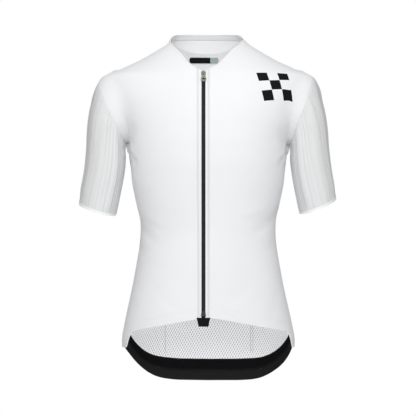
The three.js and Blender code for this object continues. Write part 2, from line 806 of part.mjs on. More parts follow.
// The label's rounded plate on the inside of the back
function neckLabel() {
  const { left, right, top, bottom, corner, steps } = LABEL;
  const tall = (top - bottom) / 2;
  const bend = Array.from({ length: steps / 2 }, (_, i) => radians((90 * (i + 0.5)) / (steps / 2)));
  const ends = bend.map((a) => ({ x: corner * (1 - Math.cos(a)), half: tall - corner * (1 - Math.sin(a)) }));
  const flat = Array.from({ length: steps }, (_, i) => lerp(left + corner, right - corner, i / (steps - 1)));
  const columns = [
    ...ends.map(({ x, half }) => ({ x: left + x, half })),
    ...flat.map((x) => ({ x, half: tall })),
    ...ends.map(({ x, half }) => ({ x: right - x, half })).reverse(),
  ];
  const middle = (top + bottom) / 2;
  const inside = -(PANEL_WALL + LAY_GAP);
  const grid = [-1, 0, 1].map((step) => columns.map(({ x, half }) => (
    moved(cloth(facePoint(x, middle + step * half, 1)), inside)
  )));
  return wall([grid], LABEL_WALL);
}

// A strip along the zip. offsets are the x of its two edges at each height
function zipStrip(rows, inside, thickness) {
  const grid = rows.map(({ z, from, to }) => {
    const across = [from, (from + to) / 2, to];
    return across.map((x) => moved(cloth(facePoint(ZIP_X + x, z, -1)), -inside));
  });
  return wall([grid], thickness);
}

function zipHeights(grid, bottom, top) {
  const rows = grid.slice(0, grid.length - SHOULDER_ROWS).map((row) => row[0].p.z);
  return [bottom, ...rows.filter((z) => z > bottom + 2 && z < top - 2), top];
}

function zipTape(grid, sign) {
  const heights = zipHeights(grid, ZIP_FOOT_Z, ZIP_TOP_Z);
  const rows = heights.map((z) => ({ z, from: (sign * SEAM_GAP) / 2, to: sign * TAPE_WIDE }));
  return zipStrip(rows, PANEL_WALL + TAPE_BEHIND, TAPE_WALL);
}

function zipChain(grid) {
  const heights = zipHeights(grid, ZIP_FOOT_Z, ZIP_TOP_Z);
  const rows = heights.map((z) => ({ z, from: -CHAIN_WIDE / 2, to: CHAIN_WIDE / 2 }));
  return zipStrip(rows, CHAIN_SINK, CHAIN_WALL);
}

function zipFoot() {
  const { topZ, bottomZ, topHalf, bottomHalf, wall: thickness } = ZIP_FOOT;
  const rows = [
    { z: bottomZ, from: -bottomHalf, to: bottomHalf },
    { z: topZ, from: -topHalf, to: topHalf },
  ];
  return zipStrip(rows, -(thickness + SLIDER_LIFT), thickness);
}

function hemTab() {
  const { topZ, bottomZ, topHalf, bottomHalf, wall: thickness } = HEM_TAB;
  const rows = [
    { z: bottomZ, from: -bottomHalf, to: bottomHalf },
    { z: FRONT_HEM_Z, from: -lerp(bottomHalf, topHalf, 0.8), to: lerp(bottomHalf, topHalf, 0.8) },
    { z: topZ, from: -topHalf, to: topHalf },
  ];
  return zipStrip(rows, PANEL_WALL + TAPE_BEHIND, thickness);
}

function extrusion(shape, depth) {
  return new THREE.ExtrudeGeometry(shape, { depth, bevelEnabled: false, curveSegments: 6 });
}

function closedMesh(geometry) {
  const bare = geometry.clone();
  bare.deleteAttribute('normal');
  bare.deleteAttribute('uv');
  return mergeVertices(bare, 1e-4);
}

// Shapes of the slider lie in its own frame: x across, y up the zip, z off the chest
function sliderPlate() {
  const shape = new THREE.Shape();
  const shoulder = SLIDER_WIDE / 2;
  const foot = SLIDER_NARROW / 2;
  shape.moveTo(-shoulder * 0.55, 0);
  shape.lineTo(-shoulder, -SLIDER_LONG * 0.28);
  shape.lineTo(-foot, -SLIDER_LONG);
  shape.lineTo(foot, -SLIDER_LONG);
  shape.lineTo(shoulder, -SLIDER_LONG * 0.28);
  shape.lineTo(shoulder * 0.55, 0);
  shape.closePath();
  return extrusion(shape, SLIDER_WALL).translate(0, 0, SLIDER_LIFT);
}

// The arch that carries the pull, drawn in profile and turned to stand on the plate
function sliderBridge() {
  const root = SLIDER_LIFT + SLIDER_WALL / 2;
  const crown = SLIDER_LIFT + SLIDER_WALL + BRIDGE_TALL;
  const shape = new THREE.Shape();
  shape.moveTo(BRIDGE_START, root);
  shape.lineTo(BRIDGE_START, crown - BRIDGE_BAR);
  shape.lineTo(BRIDGE_START + BRIDGE_BAR, crown);
  shape.lineTo(BRIDGE_END - BRIDGE_BAR, crown);
  shape.lineTo(BRIDGE_END, crown - BRIDGE_BAR);
  shape.lineTo(BRIDGE_END, root);
  shape.lineTo(BRIDGE_END - BRIDGE_BAR, root);
  shape.lineTo(BRIDGE_END - BRIDGE_BAR, crown - BRIDGE_BAR);
  shape.lineTo(BRIDGE_START + BRIDGE_BAR, crown - BRIDGE_BAR);
  shape.lineTo(BRIDGE_START + BRIDGE_BAR, root);
  shape.closePath();
  const arch = extrusion(shape, BRIDGE_WIDE).translate(0, 0, -BRIDGE_WIDE / 2);
  const turn = new THREE.Matrix4().makeBasis(point(0, -1, 0), point(0, 0, 1), point(-1, 0, 0));
  return arch.applyMatrix4(turn);
}

// Even points on part of an ellipse, the last one left out on a whole turn
function arcPoints(y, halfWide, halfTall, from, to, steps) {
  const count = to - from === 360 ? steps : steps + 1;
  return Array.from({ length: count }, (_, i) => {
    const turn = radians(lerp(from, to, i / steps));
    return new THREE.Vector2(halfWide * Math.cos(turn), y + halfTall * Math.sin(turn));
  });
}

// The pull hangs from a bar through the bridge: a narrow neck, then a wide round end
function pullTab() {
  const neck = PULL_NECK / 2;
  const bulb = PULL_WIDE / 2;
  const bar = PULL_WALL / 2;
  const bulbY = -(PULL_LONG - bar - bulb);
  const at = (x, y) => new THREE.Vector2(x, y);
  const shape = new THREE.Shape([
    at(-neck, bar),
    at(-neck, -NECK_END),
    ...arcPoints(bulbY, bulb, bulb, 180, 360, 14),
    at(neck, -NECK_END),
    at(neck, bar),
  ]);
  const slot = [
    at(-SLOT_HALF, -bar),
    at(SLOT_HALF, -bar),
    at(SLOT_HALF, -SLOT_END),
    at(-SLOT_HALF, -SLOT_END),
  ];
  const ring = arcPoints(bulbY + PULL_HOLE.up, PULL_HOLE.halfWide, PULL_HOLE.halfTall, 0, 360, 14);
  shape.holes.push(new THREE.Path(slot), new THREE.Path(ring));
  return extrusion(shape, PULL_WALL).translate(0, 0, -PULL_WALL / 2);
}

const wasm = await Module();
wasm.setup();

function toManifold(geometry) {
  const closed = closedMesh(geometry);
  return new wasm.Manifold(new wasm.Mesh({
    numProp: 3,
    vertProperties: Float32Array.from(closed.attributes.position.array),
    triVerts: Uint32Array.from(closed.index.array),
  }));
}

function fused(a, b) {
  const mesh = toManifold(a).add(toManifold(b)).getMesh();
  const geometry = new THREE.BufferGeometry();
  geometry.setAttribute('position', new THREE.Float32BufferAttribute(mesh.vertProperties, 3));
  geometry.setIndex([...mesh.triVerts]);
  geometry.computeVertexNormals();
  return geometry;
}

function piece(name, geometry, color, roughness, metalness = 0) {
  const material = new THREE.MeshStandardMaterial({ color, roughness, metalness });
  const mesh = new THREE.Mesh(geometry, material);
  mesh.name = name;
  return mesh;
}

const rings = { right: armholeRing(RIGHT), left: armholeRing(LEFT) };
const halves = {};
[RIGHT, LEFT].forEach((side) => {
  halves[side.name] = {
    front: panelGrid(side, rings[side.name], true),
    back: panelGrid(side, rings[side.name], false),
  };
});

const jersey = new THREE.Group();
[RIGHT, LEFT].forEach((side) => {
  const { name, sign } = side;
  const grid = halves[name].front;
  jersey.add(piece(`front_${name}`, frontPanel(grid), COLOURS.white, 0.85));
  jersey.add(piece(`sleeve_${name}`, sleeve(side, rings[name]), COLOURS.rib, 0.8));
  jersey.add(piece(`cuff_${name}`, cuff(side), COLOURS.white, 0.7));
  jersey.add(piece(`zip_tape_${name}`, zipTape(grid, sign), COLOURS.tape, 0.8));
});

const backs = [halves.right.back, halves.left.back];
const lastRow = halves.left.back.length - 1;
const back = backPiece(...backs, TAIL_ROWS, lastRow, { first: true }, PANEL_WALL);
const tailBand = backPiece(...backs, 1, TAIL_ROWS, { first: true, last: true }, PANEL_WALL);
const gripper = backPiece(...backs, 0, 1, { last: true }, GRIPPER_WALL);
jersey.add(piece('back', back, COLOURS.mesh, 0.9));
jersey.add(piece('tail_band', tailBand, COLOURS.black, 0.85));
jersey.add(piece('hem_gripper', gripper, COLOURS.gripper, 0.75));

const pocket = pocketPiece(...backs, 'panel', { first: true, last: true }, POCKET_WALL);
const pocketBinding = pocketPiece(...backs, 'binding', { first: true }, BINDING_WALL);
jersey.add(piece('pocket_panel', pocket, COLOURS.white, 0.85));
jersey.add(piece('pocket_binding', pocketBinding, COLOURS.white, 0.7));

const collarHalves = [collarColumns(halves.right), collarColumns(halves.left)];
jersey.add(piece('collar', collar(...collarHalves), COLOURS.white, 0.85));
jersey.add(piece('collar_binding', collarBinding(...collarHalves), COLOURS.rib, 0.8));
jersey.add(piece('neck_label', neckLabel(), COLOURS.label, 0.7));

jersey.add(piece('zip_chain', zipChain(halves.left.front), COLOURS.black, 0.55));
jersey.add(piece('zip_foot', zipFoot(), COLOURS.black, 0.5));
jersey.add(piece('zip_hem_tab', hemTab(), COLOURS.black, 0.8));

// The slider's frame lies on the chest along the zip
const sliderTop = facePoint(ZIP_X, SLIDER_TOP_Z, -1);
const belowTop = facePoint(ZIP_X, SLIDER_TOP_Z - PULL_LONG, -1);
const up = sliderTop.clone().sub(belowTop).setX(0).normalize();
const off = point(1, 0, 0).cross(up);
const chest = new THREE.Group();
chest.position.copy(sliderTop);
chest.quaternion.setFromRotationMatrix(new THREE.Matrix4().makeBasis(point(1, 0, 0), up, off));
chest.add(piece('zip_slider', fused(sliderPlate(), sliderBridge()), COLOURS.metal, 0.35, 0.9));
const pull = piece('zip_pull', closedMesh(pullTab()), COLOURS.metal, 0.35, 0.9);
pull.geometry.computeVertexNormals();
pull.position.set(0, -HINGE_DOWN, SLIDER_LIFT + SLIDER_WALL + PULL_LIFT + PULL_WALL / 2);
chest.add(pull);
jersey.add(chest);

export default jersey;
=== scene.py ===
import math

import bpy
import numpy as np
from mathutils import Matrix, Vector


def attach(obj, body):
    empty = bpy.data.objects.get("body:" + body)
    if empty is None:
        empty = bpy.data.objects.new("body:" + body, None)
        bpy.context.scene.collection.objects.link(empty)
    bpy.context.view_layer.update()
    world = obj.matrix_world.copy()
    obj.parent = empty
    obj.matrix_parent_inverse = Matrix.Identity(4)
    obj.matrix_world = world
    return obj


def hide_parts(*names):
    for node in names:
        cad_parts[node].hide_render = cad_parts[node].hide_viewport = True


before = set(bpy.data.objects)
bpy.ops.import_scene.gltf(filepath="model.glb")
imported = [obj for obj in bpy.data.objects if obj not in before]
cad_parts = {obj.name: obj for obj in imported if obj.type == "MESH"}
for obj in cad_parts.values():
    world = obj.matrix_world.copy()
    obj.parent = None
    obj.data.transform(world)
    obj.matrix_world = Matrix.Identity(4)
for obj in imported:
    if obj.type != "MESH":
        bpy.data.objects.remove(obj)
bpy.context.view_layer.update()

# A short-sleeved road-cycling jersey in its worn form. Places and sizes are in millimetres
# until a mesh is made. +Z is up, the wearer faces -Y, so the wearer's left is +X.
MM = 0.001
SEED = 11

# Cloth walls and gaps
PANEL_WALL = 1.2
COLLAR_WALL = 1.6
BINDING_WALL = 1.0
GRIPPER_WALL = 1.5
CUFF_WALL = 1.4
POCKET_WALL = 1.0
LABEL_WALL = 1.0
SEAM_GAP = 0.3
SEWN_GAP = 0.03
LAY_GAP = 0.4

# Hems and edges
BODY_Y = 5
FRONT_HEM_Z = -553
FRONT_HEM_SAG = 34
FLAP_TURN = 12
FLAP_DROP = 33
SIDE_HEM_ANGLE = 100
SIDE_HEM_Z = -621
TAIL_Z = -703
TAIL_RISE = 82
GRIPPER_TALL = 21
TAIL_BAND_TOP = 46
BAND_PINCH = 0.1
PINCH_START = 0.3
WAIST_LINE_Z = -215
NECK_FRONT_Z = -63
NECK_BACK_Z = -14
NECK_SAG = 6
NECK_SAG_END = 0.7
NECK_TURN = 84

# Front zip
ZIP_X = -9
ZIP_SLOT = 8
CHAIN_WIDE = 5.8
CHAIN_WALL = 1.1
CHAIN_SINK = 0.1
TAPE_WIDE = 13
TAPE_WALL = 1.0
TAPE_BEHIND = 0.5
ZIP_TOP_Z = -66
ZIP_FOOT_Z = -546

# The jersey's body: half width, and reach to the front and back of BODY_Y
BODY_ROWS = [
    (30, 66, 30, 40, 2.0),
    (8, 76, 37, 47, 2.0),
    (2, 82, 41, 51, 2.0),
    (-9, 98, 50, 58, 2.0),
    (-18, 113, 55.5, 64, 2.0),
    (-35, 143, 66.5, 74.5, 2.05),
    (-45, 165, 72.5, 80, 2.05),
    (-57, 192, 80, 86, 2.1),
    (-62, 205, 83, 88.5, 2.1),
    (-70, 216, 87, 92, 2.1),
    (-90, 212, 96.5, 99, 2.15),
    (-110, 204, 104, 104, 2.2),
    (-139, 188, 112, 108, 2.25),
    (-170, 173, 118, 109, 2.3),
    (-204, 163, 122, 107, 2.3),
    (-240, 159.4, 122, 103, 2.3),
    (-279, 156, 118, 97, 2.3),
    (-328, 146.6, 112, 89.5, 2.3),
    (-365, 139, 108.5, 85, 2.3),
    (-385, 138.4, 107, 84, 2.3),
    (-412, 140.4, 106.3, 85, 2.3),
    (-451, 146.6, 106.5, 88, 2.3),
    (-500, 155.8, 108, 96, 2.3),
    (-537, 164, 109.3, 102.5, 2.3),
    (-574, 172, 110, 108, 2.3),
    (-605, 177, 110, 112, 2.3),
    (-650, 175, 110, 114.5, 2.3),
    (-710, 172, 110, 116, 2.3),
]

# One sleeve's sections, alike on both sides
ARM_ROWS = [
    (-52, 189, 3, 6, 6),
    (-60, 190, 12, 22, 6),
    (-72, 193, 26, 34, 6),
    (-80, 194.5, 31, 39.5, 6),
    (-90, 196, 35, 44, 6),
    (-105, 197, 39, 50, 6),
    (-120, 198, 41, 54, 5.5),
    (-139, 201, 42, 57, 5),
    (-160, 204, 42, 58, 4.5),
    (-190, 206.5, 41.5, 56, 4),
    (-210, 207.3, 41.2, 55, 3.7),
    (-245, 209.2, 42, 53, 3),
    (-266, 212, 42, 51.5, 2.8),
    (-290, 216.5, 42, 50, 2.5),
    (-316, 221.7, 41.3, 48.3, 2.3),
    (-337, 225.6, 40.5, 47, 2),
    (-370, 232, 39, 46, 2),
]

# How softly the sleeve runs into the body
BLEND_ROWS = [
    (-50, 2),
    (-70, 12),
    (-100, 26),
    (-139, 33),
    (-165, 25),
    (-182, 12),
    (-195, 5.5),
    (-206, 2.5),
    (-216, 1.5),
    (-225, 0.5),
]

# How far the tail's edge has risen, as shares: turn is 0 behind and 1 at the side seam
TAIL_ROWS = [
    (0, 0, 0),
    (0.2, 0.012, 0.006),
    (0.35, 0.06, 0.035),
    (0.45, 0.128, 0.085),
    (0.55, 0.245, 0.185),
    (0.65, 0.405, 0.318),
    (0.75, 0.588, 0.473),
    (0.85, 0.775, 0.66),
    (1, 1, 1),
]

# Each ring is a slanted plane, seen from the front as a line from its outer end (top)
# to its inner end (under): (top x, top z, under x, under z)
RIGHT = {
    "sign": -1,
    "name": "right",
    "armhole": (227, -84, 166, -202),
    "cuff": (262, -328, 188.6, -350.6),
    "neck_z": 3,
    "shift": 0,
    "flap_angle": 58,
}
LEFT = {
    "sign": 1,
    "name": "left",
    "armhole": (216, -72, 164, -207),
    "cuff": (264.5, -315.7, 188.6, -346.5),
    "neck_z": 8,
    "shift": -4.5,
    "flap_angle": 64,
}
CUFF_TALL = 5.2
CUFF_TILT = 8
LEAN_EASE = 0.85
SHIFT_TOP, SHIFT_FULL, SHIFT_LOW = -60, -110, -250
RIBS = 36
RIB_RAISE = 0.8
RIB_FADE = 0.12

# Collar: w runs from the back centre (0) over the shoulder line to the tip (1)
COLLAR_ROWS = [
    (0, 25.7, 2, 6),
    (0.28, 25.2, 2, 6),
    (0.45, 23.6, 2, 5.5),
    (0.55, 22.2, 2, 5),
    (0.65, 19, 2, 5),
    (0.73, 14, 3, 4.5),
    (0.77, 10.5, 3, 3),
    (0.8, 7, 3, 2.4),
    (0.88, -2, 2.6, 1.2),
    (1, -30, 2, 0.8),
]
COLLAR_TIP = 0.86
COLLAR_AXIS_X = -4.5
COLLAR_AXIS_Y = 12
COLLAR_BOW = 1.5
BINDING_TALL = 10.5
BINDING_SPAN = 0.72
BINDING_SHARE = 0.7

LABEL = {"left": -39, "right": 22, "top": -20, "bottom": -31, "corner": 4, "pale_from": 5}
POCKET_SPAN = 11 / 12
POCKET_STEPS = 5
POCKET_BINDING_TALL = 9
POCKET_SWELL = 3.2
DIVIDERS = (-91, 91, 96)
HEM_TAB = {"top": -547, "bottom": -568.5, "top_half": 13.25, "bottom_half": 9.2, "wall": 1.2}
TAB_FOLD = {"top": -553.2, "bottom": -570.8, "top_half": 13.5, "bottom_half": 9.6, "wall": 0.6}
TAB_FOLD_OUT = 0.75
COIL = {"pitch": 1.5, "wide": 3.9, "long": 0.95, "tall": 0.95, "offset": 0.75, "sink": 0.42, "rise": 0.4}
SLIDER_FOOT_Z = -74
ZIP_STEP = 4.0

# How much the hard zip parts' edges are rounded: (CAD node, finish, width)
SOFT_EDGES = (("zip_slider", "metal", 0.28), ("zip_pull", "metal", 0.3), ("zip_foot", "stop", 0.4))

# Sewing: distances of the rows of stitches from the edges, and the thread's own size
SEWN_AT = {"placket": 4.8, "hem": (15.5, 19), "neck": 5.5, "side": 2.6}
SEWN_AT |= {"tail": 2.4, "band": 2.2, "mouth": 1.5}
THREAD = {"long": 2.3, "wide": 0.5, "tall": 0.36, "pitch": 3.1, "lift": 0.08}
DIVIDER_THICK, DIVIDER_LIFT, DIVIDER_ABOVE_TAIL, DIVIDER_STEP = 1.35, 0.1, 60, 4.0

# Dents as (depth, reach), beside the zip with their distance from its middle first
TAPE_DENTS = ((11, 0.7, 2.4), (13.6, 0.25, 0.9))
TAPE_DENTS_START = (64, 74)
HEM_TURN, HEM_STEP, HEM_DENT = 18.5, 0.3, (0.45, 1.6)
SEAM_DENT = (0.55, 2.2)
ARMPIT = {"depth": 2.2, "reach": 4.2, "above": 14, "tall": 24, "turns": (100, 260), "places": 41}

# Sleeve: ribs, broad waves as (waves round the arm, height), and its inner face tucked in
RIB_PITCH = 8.4
RIB_STRENGTH, RIB_STOPS = (0.3, 0.95), 5
SLEEVE_WAVES = ((5, 1.3), (8, 0.9), (11, 0.6))
TUCK, TUCK_START, TUCK_EASE = 3.4, 0.17, 0.8

# Knit, mesh and colours
KNIT_WALE, KNIT_COURSE = 0.85, 0.6
MESH_PITCH, MESH_CLOSES = 4.6, (-70, -150)
WHITE = (0.90, 0.905, 0.92)
INK = (0.006, 0.006, 0.0065)
# Grey band beside the zip: the tape showing through, with painted shade of the trough over the tape's edge
TAPE_AND_TROUGH_SHADE = (0.74, 0.75, 0.74)
MARK_X, MARK_Z, MARK_CELL, MARK_TURN = 135, -90, 22.5, 14

# Studio: metres and watts. Each light is (name, place, size, power, what it is aimed at)
CAMERA_AWAY, CAMERA_Z, FRAME_WIDE = 3.0, -0.336, 0.8528
FLOOR_Z, FLOOR_RADIUS, FLOOR_STEPS = -0.95, 1.2, 96
SKY_STRENGTH = 0.43
LIGHTS = [
    ("key", (0, -2.3, 1.0), (2.2, 1.4), 44, (0, 0, -0.336)),
    ("low", (0, -2.0, -0.82), (1.6, 0.2), 1.8, (0, 0, -0.336)),
    ("under", (0, -0.06, -0.85), (0.36, 0.06), 0.5, (0, 0.12, -0.66)),
    ("behind", (0, 2.6, 0.5), (1.2, 1.0), 20, (0, 0, -0.336)),
    ("inside", (-0.005, -0.03, -0.15), (0.12, 0.06), 0.035, (0, 0.06, 0.0)),
]

# Folds: soft ridges (+) and troughs (-) between two places on the cloth.
# (side, angle and z of one end, angle and z of the other, half width, height)
LARGE_FOLDS = [
    (-1, 84, -212, 62, -176, 13, -3.2),
    (-1, 80, -226, 56, -204, 12, 2.0),
    (-1, 83, -242, 63, -236, 11, -1.8),
    (1, 84, -216, 60, -184, 13, -3.0),
    (1, 80, -232, 57, -214, 12, 2.2),
    (1, 84, -250, 66, -240, 10, -1.6),
    (-1, 97, -212, 118, -182, 13, -3.0),
    (-1, 99, -232, 122, -212, 12, 1.9),
    (1, 96, -216, 120, -178, 13, -3.2),
    (1, 100, -236, 121, -220, 12, 2.1),
    (1, 66, -330, 32, -350, 14, 1.8),
    (1, 78, -352, 44, -384, 13, -2.0),
    (-1, 76, -346, 45, -362, 13, 1.6),
    (-1, 84, -372, 52, -398, 14, -1.9),
    (-1, 104, -352, 138, -372, 14, 2.4),
    (-1, 100, -380, 146, -404, 13, -2.2),
    (1, 103, -344, 140, -380, 14, 2.2),
    (1, 99, -374, 150, -396, 13, -2.4),
]
FINE_FOLDS = [
    (-1, 85, -207, 66, -246, 7, -2.0),
    (-1, 81, -202, 60, -236, 6, 1.2),
    (1, 85, -211, 64, -248, 7, -2.0),
    (1, 81, -206, 58, -240, 6, 1.2),
    (-1, 86, -206, 68, -150, 5.5, -1.7),
    (-1, 79, -214, 70, -186, 5, 1.1),
    (-1, 86, -222, 66, -208, 5, -1.2),
    (-1, 88, -236, 70, -228, 6, 0.9),
    (-1, 88, -262, 74, -262, 6, -0.7),
    (1, 86, -210, 67, -154, 5.5, -1.6),
    (1, 80, -218, 69, -192, 5, 1.2),
    (1, 87, -228, 64, -216, 5, -1.1),
    (1, 88, -244, 72, -236, 6, 0.8),
    (1, 89, -270, 76, -266, 6, -0.6),
    (1, 58, -336, 28, -362, 8, -0.9),
    (1, 72, -366, 40, -402, 8, 0.8),
    (1, 80, -400, 56, -420, 8, -0.6),
    (-1, 70, -354, 40, -378, 8, -0.8),
    (-1, 80, -384, 50, -414, 8, 0.8),
    (-1, 82, -414, 62, -428, 8, -0.5),
    (-1, 40, -498, 20, -540, 9, -0.7),
    (1, 34, -500, 16, -545, 9, 0.7),
    (1, 60, -510, 46, -560, 9, -0.7),
    (-1, 94, -206, 112, -160, 6, -1.6),
    (-1, 96, -226, 116, -200, 6, 1.1),
    (1, 94, -210, 113, -162, 6, -1.6),
    (1, 96, -230, 117, -206, 6, 1.1),
    (-1, 108, -340, 150, -352, 8, -1.2),
    (-1, 104, -366, 152, -388, 8, 1.2),
    (-1, 106, -396, 140, -420, 8, -1.0),
    (1, 106, -334, 146, -356, 8, -1.2),
    (1, 102, -360, 154, -386, 8, 1.3),
    (1, 107, -392, 142, -414, 8, -1.0),
    (-1, 150, -110, 128, -150, 10, 1.0),
    (1, 148, -112, 126, -156, 10, 1.0),
]
FOLD_END_SHARE = 0.35
RIPPLE_HEIGHT, RIPPLE_WAVES, RIPPLE_FADE, RIPPLE_FULL, RIPPLE_SHIFT = 1.6, 5, -470, -600, 0.7

# Mesh steps
COLUMNS = 72
ZIP_COLUMNS = (0, 0.6, 1.3, 2, 2.8, 3.6, 4.4, 5.2, 6, 6.8, 7.6, 8.4, 9.2, 10.2, 11.5, 13.5, 16.5, 20.5)
HEM_SPLIT, BAND_SPLIT, BODY_SPLIT, ARMHOLE_SPLIT, SHOULDER_SPLIT = 14, 10, 7, 4, 4
BODY_STEPS, ARMHOLE_STEPS, SHOULDER_STEPS = 12, 12, 8
GRIPPER_ROW, BAND_ROW = HEM_SPLIT, HEM_SPLIT + BAND_SPLIT
RIB_SAMPLES = 8
SLEEVE_RINGS = 60
RINGS_TO_ARMPIT = 6
CUFF_ROWS, CUFF_COLUMNS = 5, 145
COLLAR_ROWS_UP, BINDING_ROWS_UP, BACK_NECK_COLUMNS, FRONT_NECK_COLUMNS = 13, 7, 49, 15
TAPE_COLUMNS, CHAIN_COLUMNS, TAB_COLUMNS, TAB_ROWS, TAB_FOLD_ROWS = 15, 7, 13, 12, 10
LABEL_ROWS, LABEL_CORNER_COLUMNS, LABEL_FLAT_COLUMNS = 7, 7, 24

# Search for the form's surface: furthest way, first steps, halvings of the last step
REACH, STRIDE, HALVINGS, SEAM_HALVINGS = 400, 2, 24, 20
NORMAL_STEP = 0.5
CURVE_SAMPLES = 3000


def lerp(a, b, share):
    return a + (b - a) * share


def smooth_step(value, low, high):
    share = np.clip((value - low) / (high - low), 0, 1)
    return share * share * (3 - 2 * share)


def stack(x, y, z):
    return np.stack(np.broadcast_arrays(*(np.asarray(v, float) for v in (x, y, z))), axis=-1)


def unit(vectors):
    return vectors / np.maximum(np.linalg.norm(vectors, axis=-1, keepdims=True), 1e-9)


def bell(distance, height, reach):
    """A soft ridge, highest at distance 0."""
    return height * np.exp(-((distance / reach) ** 2))


def sample(at, along, values):
    """Values between those that are known along a line."""
    return np.stack([np.interp(at, along, column) for column in values.T], axis=-1)


def smooth_curve(keys, values):
    """A smooth curve through values that never overshoots them (monotone cubic)."""
    keys, values = np.array(keys, float), np.array(values, float)
    steps = np.diff(keys)
    slopes = np.diff(values) / steps
    tangents = np.concatenate([slopes[:1], np.zeros(len(keys) - 2), slopes[-1:]])
    for i in range(1, len(keys) - 1):
        if slopes[i - 1] * slopes[i] > 0:
            before = 2 * steps[i] + steps[i - 1]
            after = steps[i] + 2 * steps[i - 1]
            tangents[i] = (before + after) / (before / slopes[i - 1] + after / slopes[i])
    fine = np.linspace(keys[0], keys[-1], CURVE_SAMPLES)
    i = np.clip(np.searchsorted(keys, fine, side="right") - 1, 0, len(steps) - 1)
    t = (fine - keys[i]) / steps[i]
    smooth = (
        values[i] * (2 * t**3 - 3 * t**2 + 1)
        + values[i + 1] * (3 * t**2 - 2 * t**3)
        + steps[i] * (tangents[i] * (t**3 - 2 * t**2 + t) + tangents[i + 1] * (t**3 - t**2))
    )
    return lambda key: np.interp(key, fine, smooth)


def table(names, rows):
    columns = list(zip(*sorted(rows)))
    return {name: smooth_curve(columns[0], column) for name, column in zip(names, columns[1:])}


BODY = table(("half_width", "front", "back", "power"), BODY_ROWS)
ARM = table(("x", "half_width", "half_depth", "y"), ARM_ROWS)
BLEND = table(("reach",), BLEND_ROWS)
TAIL = table(("right", "left"), TAIL_ROWS)
COLLAR = table(("top_z", "least", "inward"), COLLAR_ROWS)


def section_gap(dx, dy, half_width, depth, power):
    """Signed distance, near enough, from a rounded section: negative inside."""
    ratio = ((np.abs(dx) / half_width) ** power + (np.abs(dy) / depth) ** power) ** (1 / power)
    return np.hypot(dx, dy) * (1 - 1 / np.maximum(ratio, 1e-6))


def arm_x(shift, z):
    """How far a sleeve's middle lies from the origin, to either side."""
    above = (SHIFT_TOP - z) / (SHIFT_TOP - SHIFT_FULL)
    below = (z - SHIFT_LOW) / (SHIFT_FULL - SHIFT_LOW)
    return ARM["x"](z) + shift * np.clip(np.where(z > SHIFT_FULL, above, below), 0, 1)


def form_gap(p):
    """The whole jersey's form: body and sleeves, run together softly at the armholes."""
    x, y, z = p[..., 0], p[..., 1], p[..., 2]
    dy = y - BODY_Y
    depth = np.where(dy < 0, BODY["front"](z), BODY["back"](z))
    body = section_gap(x, dy, BODY["half_width"](z), depth, BODY["power"](z))
    shift = np.where(x < 0, RIGHT["shift"], LEFT["shift"])
    dx = np.abs(x) - arm_x(shift, z)
    arm = section_gap(dx, y - ARM["y"](z), ARM["half_width"](z), ARM["half_depth"](z), 2)
    reach = BLEND["reach"](z)
    overlap = np.maximum(reach - np.abs(body - arm), 0)
    return np.minimum(body, arm) - overlap * overlap / (4 * reach)


def form_normal(p):
    slopes = [form_gap(p + step) - form_gap(p - step) for step in np.eye(3) * NORMAL_STEP]
    return unit(np.stack(slopes, axis=-1))


def way_out(origin, way, start, limit=REACH):
    """First crossing of the form on a straight way out of it, no further than limit."""
    shape = np.broadcast_shapes(origin.shape, way.shape)
    origin = np.broadcast_to(origin, shape).reshape(-1, 3)
    way = np.broadcast_to(way, shape).reshape(-1, 3)
    count = len(origin)
    far = np.broadcast_to(np.asarray(start, float), shape[:-1]).reshape(-1).copy()
    limit = np.broadcast_to(np.asarray(limit, float), shape[:-1]).reshape(-1)
    active = np.arange(count)
    while len(active):
        gap = form_gap(origin[active] + way[active] * far[active, None])
        active = active[(far[active] < limit[active]) & (gap < 0)]
        far[active] += STRIDE
    near = np.maximum(far - STRIDE, 0)
    end = far.copy()
    for _ in range(HALVINGS):
        middle = (near + end) / 2
        inside = form_gap(origin + way * middle[:, None]) < 0
        near = np.where(inside, middle, near)
        end = np.where(inside, end, middle)
    distance = np.where(far >= limit, limit, (near + end) / 2)
    return (origin + way * distance[:, None]).reshape(shape)


def body_point(sign, angle, z):
    """The form at an angle on the body's section: 0 at the front, 90 at the side, 180 behind."""
    angle, z = np.broadcast_arrays(np.asarray(angle, float), np.asarray(z, float))
    depth = np.where(np.abs(angle) < 90, BODY["front"](z), BODY["back"](z))
    bend = 2 / BODY["power"](z)
    across, along = np.sin(np.radians(angle)), np.cos(np.radians(angle))
    x = BODY["half_width"](z) * np.sign(across) * np.abs(across) ** bend
    y = -depth * np.sign(along) * np.abs(along) ** bend
    way = stack(sign * x, y, 0)
    inside = np.linalg.norm(way, axis=-1) * 0.5
    return way_out(stack(0, BODY_Y, z), unit(way), inside)


def body_angle(sign, p):
    """The angle on the body's section at which a point lies, below 0 across the centre line."""
    dy = BODY_Y - p[..., 1]
    z = p[..., 2]
    depth = np.where(dy > 0, BODY["front"](z), BODY["back"](z))
    power = BODY["power"](z) / 2
    x = sign * p[..., 0]
    across = np.sign(x) * (np.abs(x) / BODY["half_width"](z)) ** power
    along = np.sign(dy) * (np.abs(dy) / depth) ** power
    return np.degrees(np.arctan2(across, along))


def face_point(x, z, way):
    return way_out(stack(x, BODY_Y, z), stack(0, way, 0), 1)


def fold_lines(folds):
    ends = []
    for side, angle_a, z_a, angle_b, z_b, reach, height in folds:
        a = body_point(side, np.array([angle_a]), np.array([z_a]))[0]
        b = body_point(side, np.array([angle_b]), np.array([z_b]))[0]
        ends.append((a, b, reach, height))
    return ends


FOLD_LINES = fold_lines(LARGE_FOLDS + FINE_FOLDS)


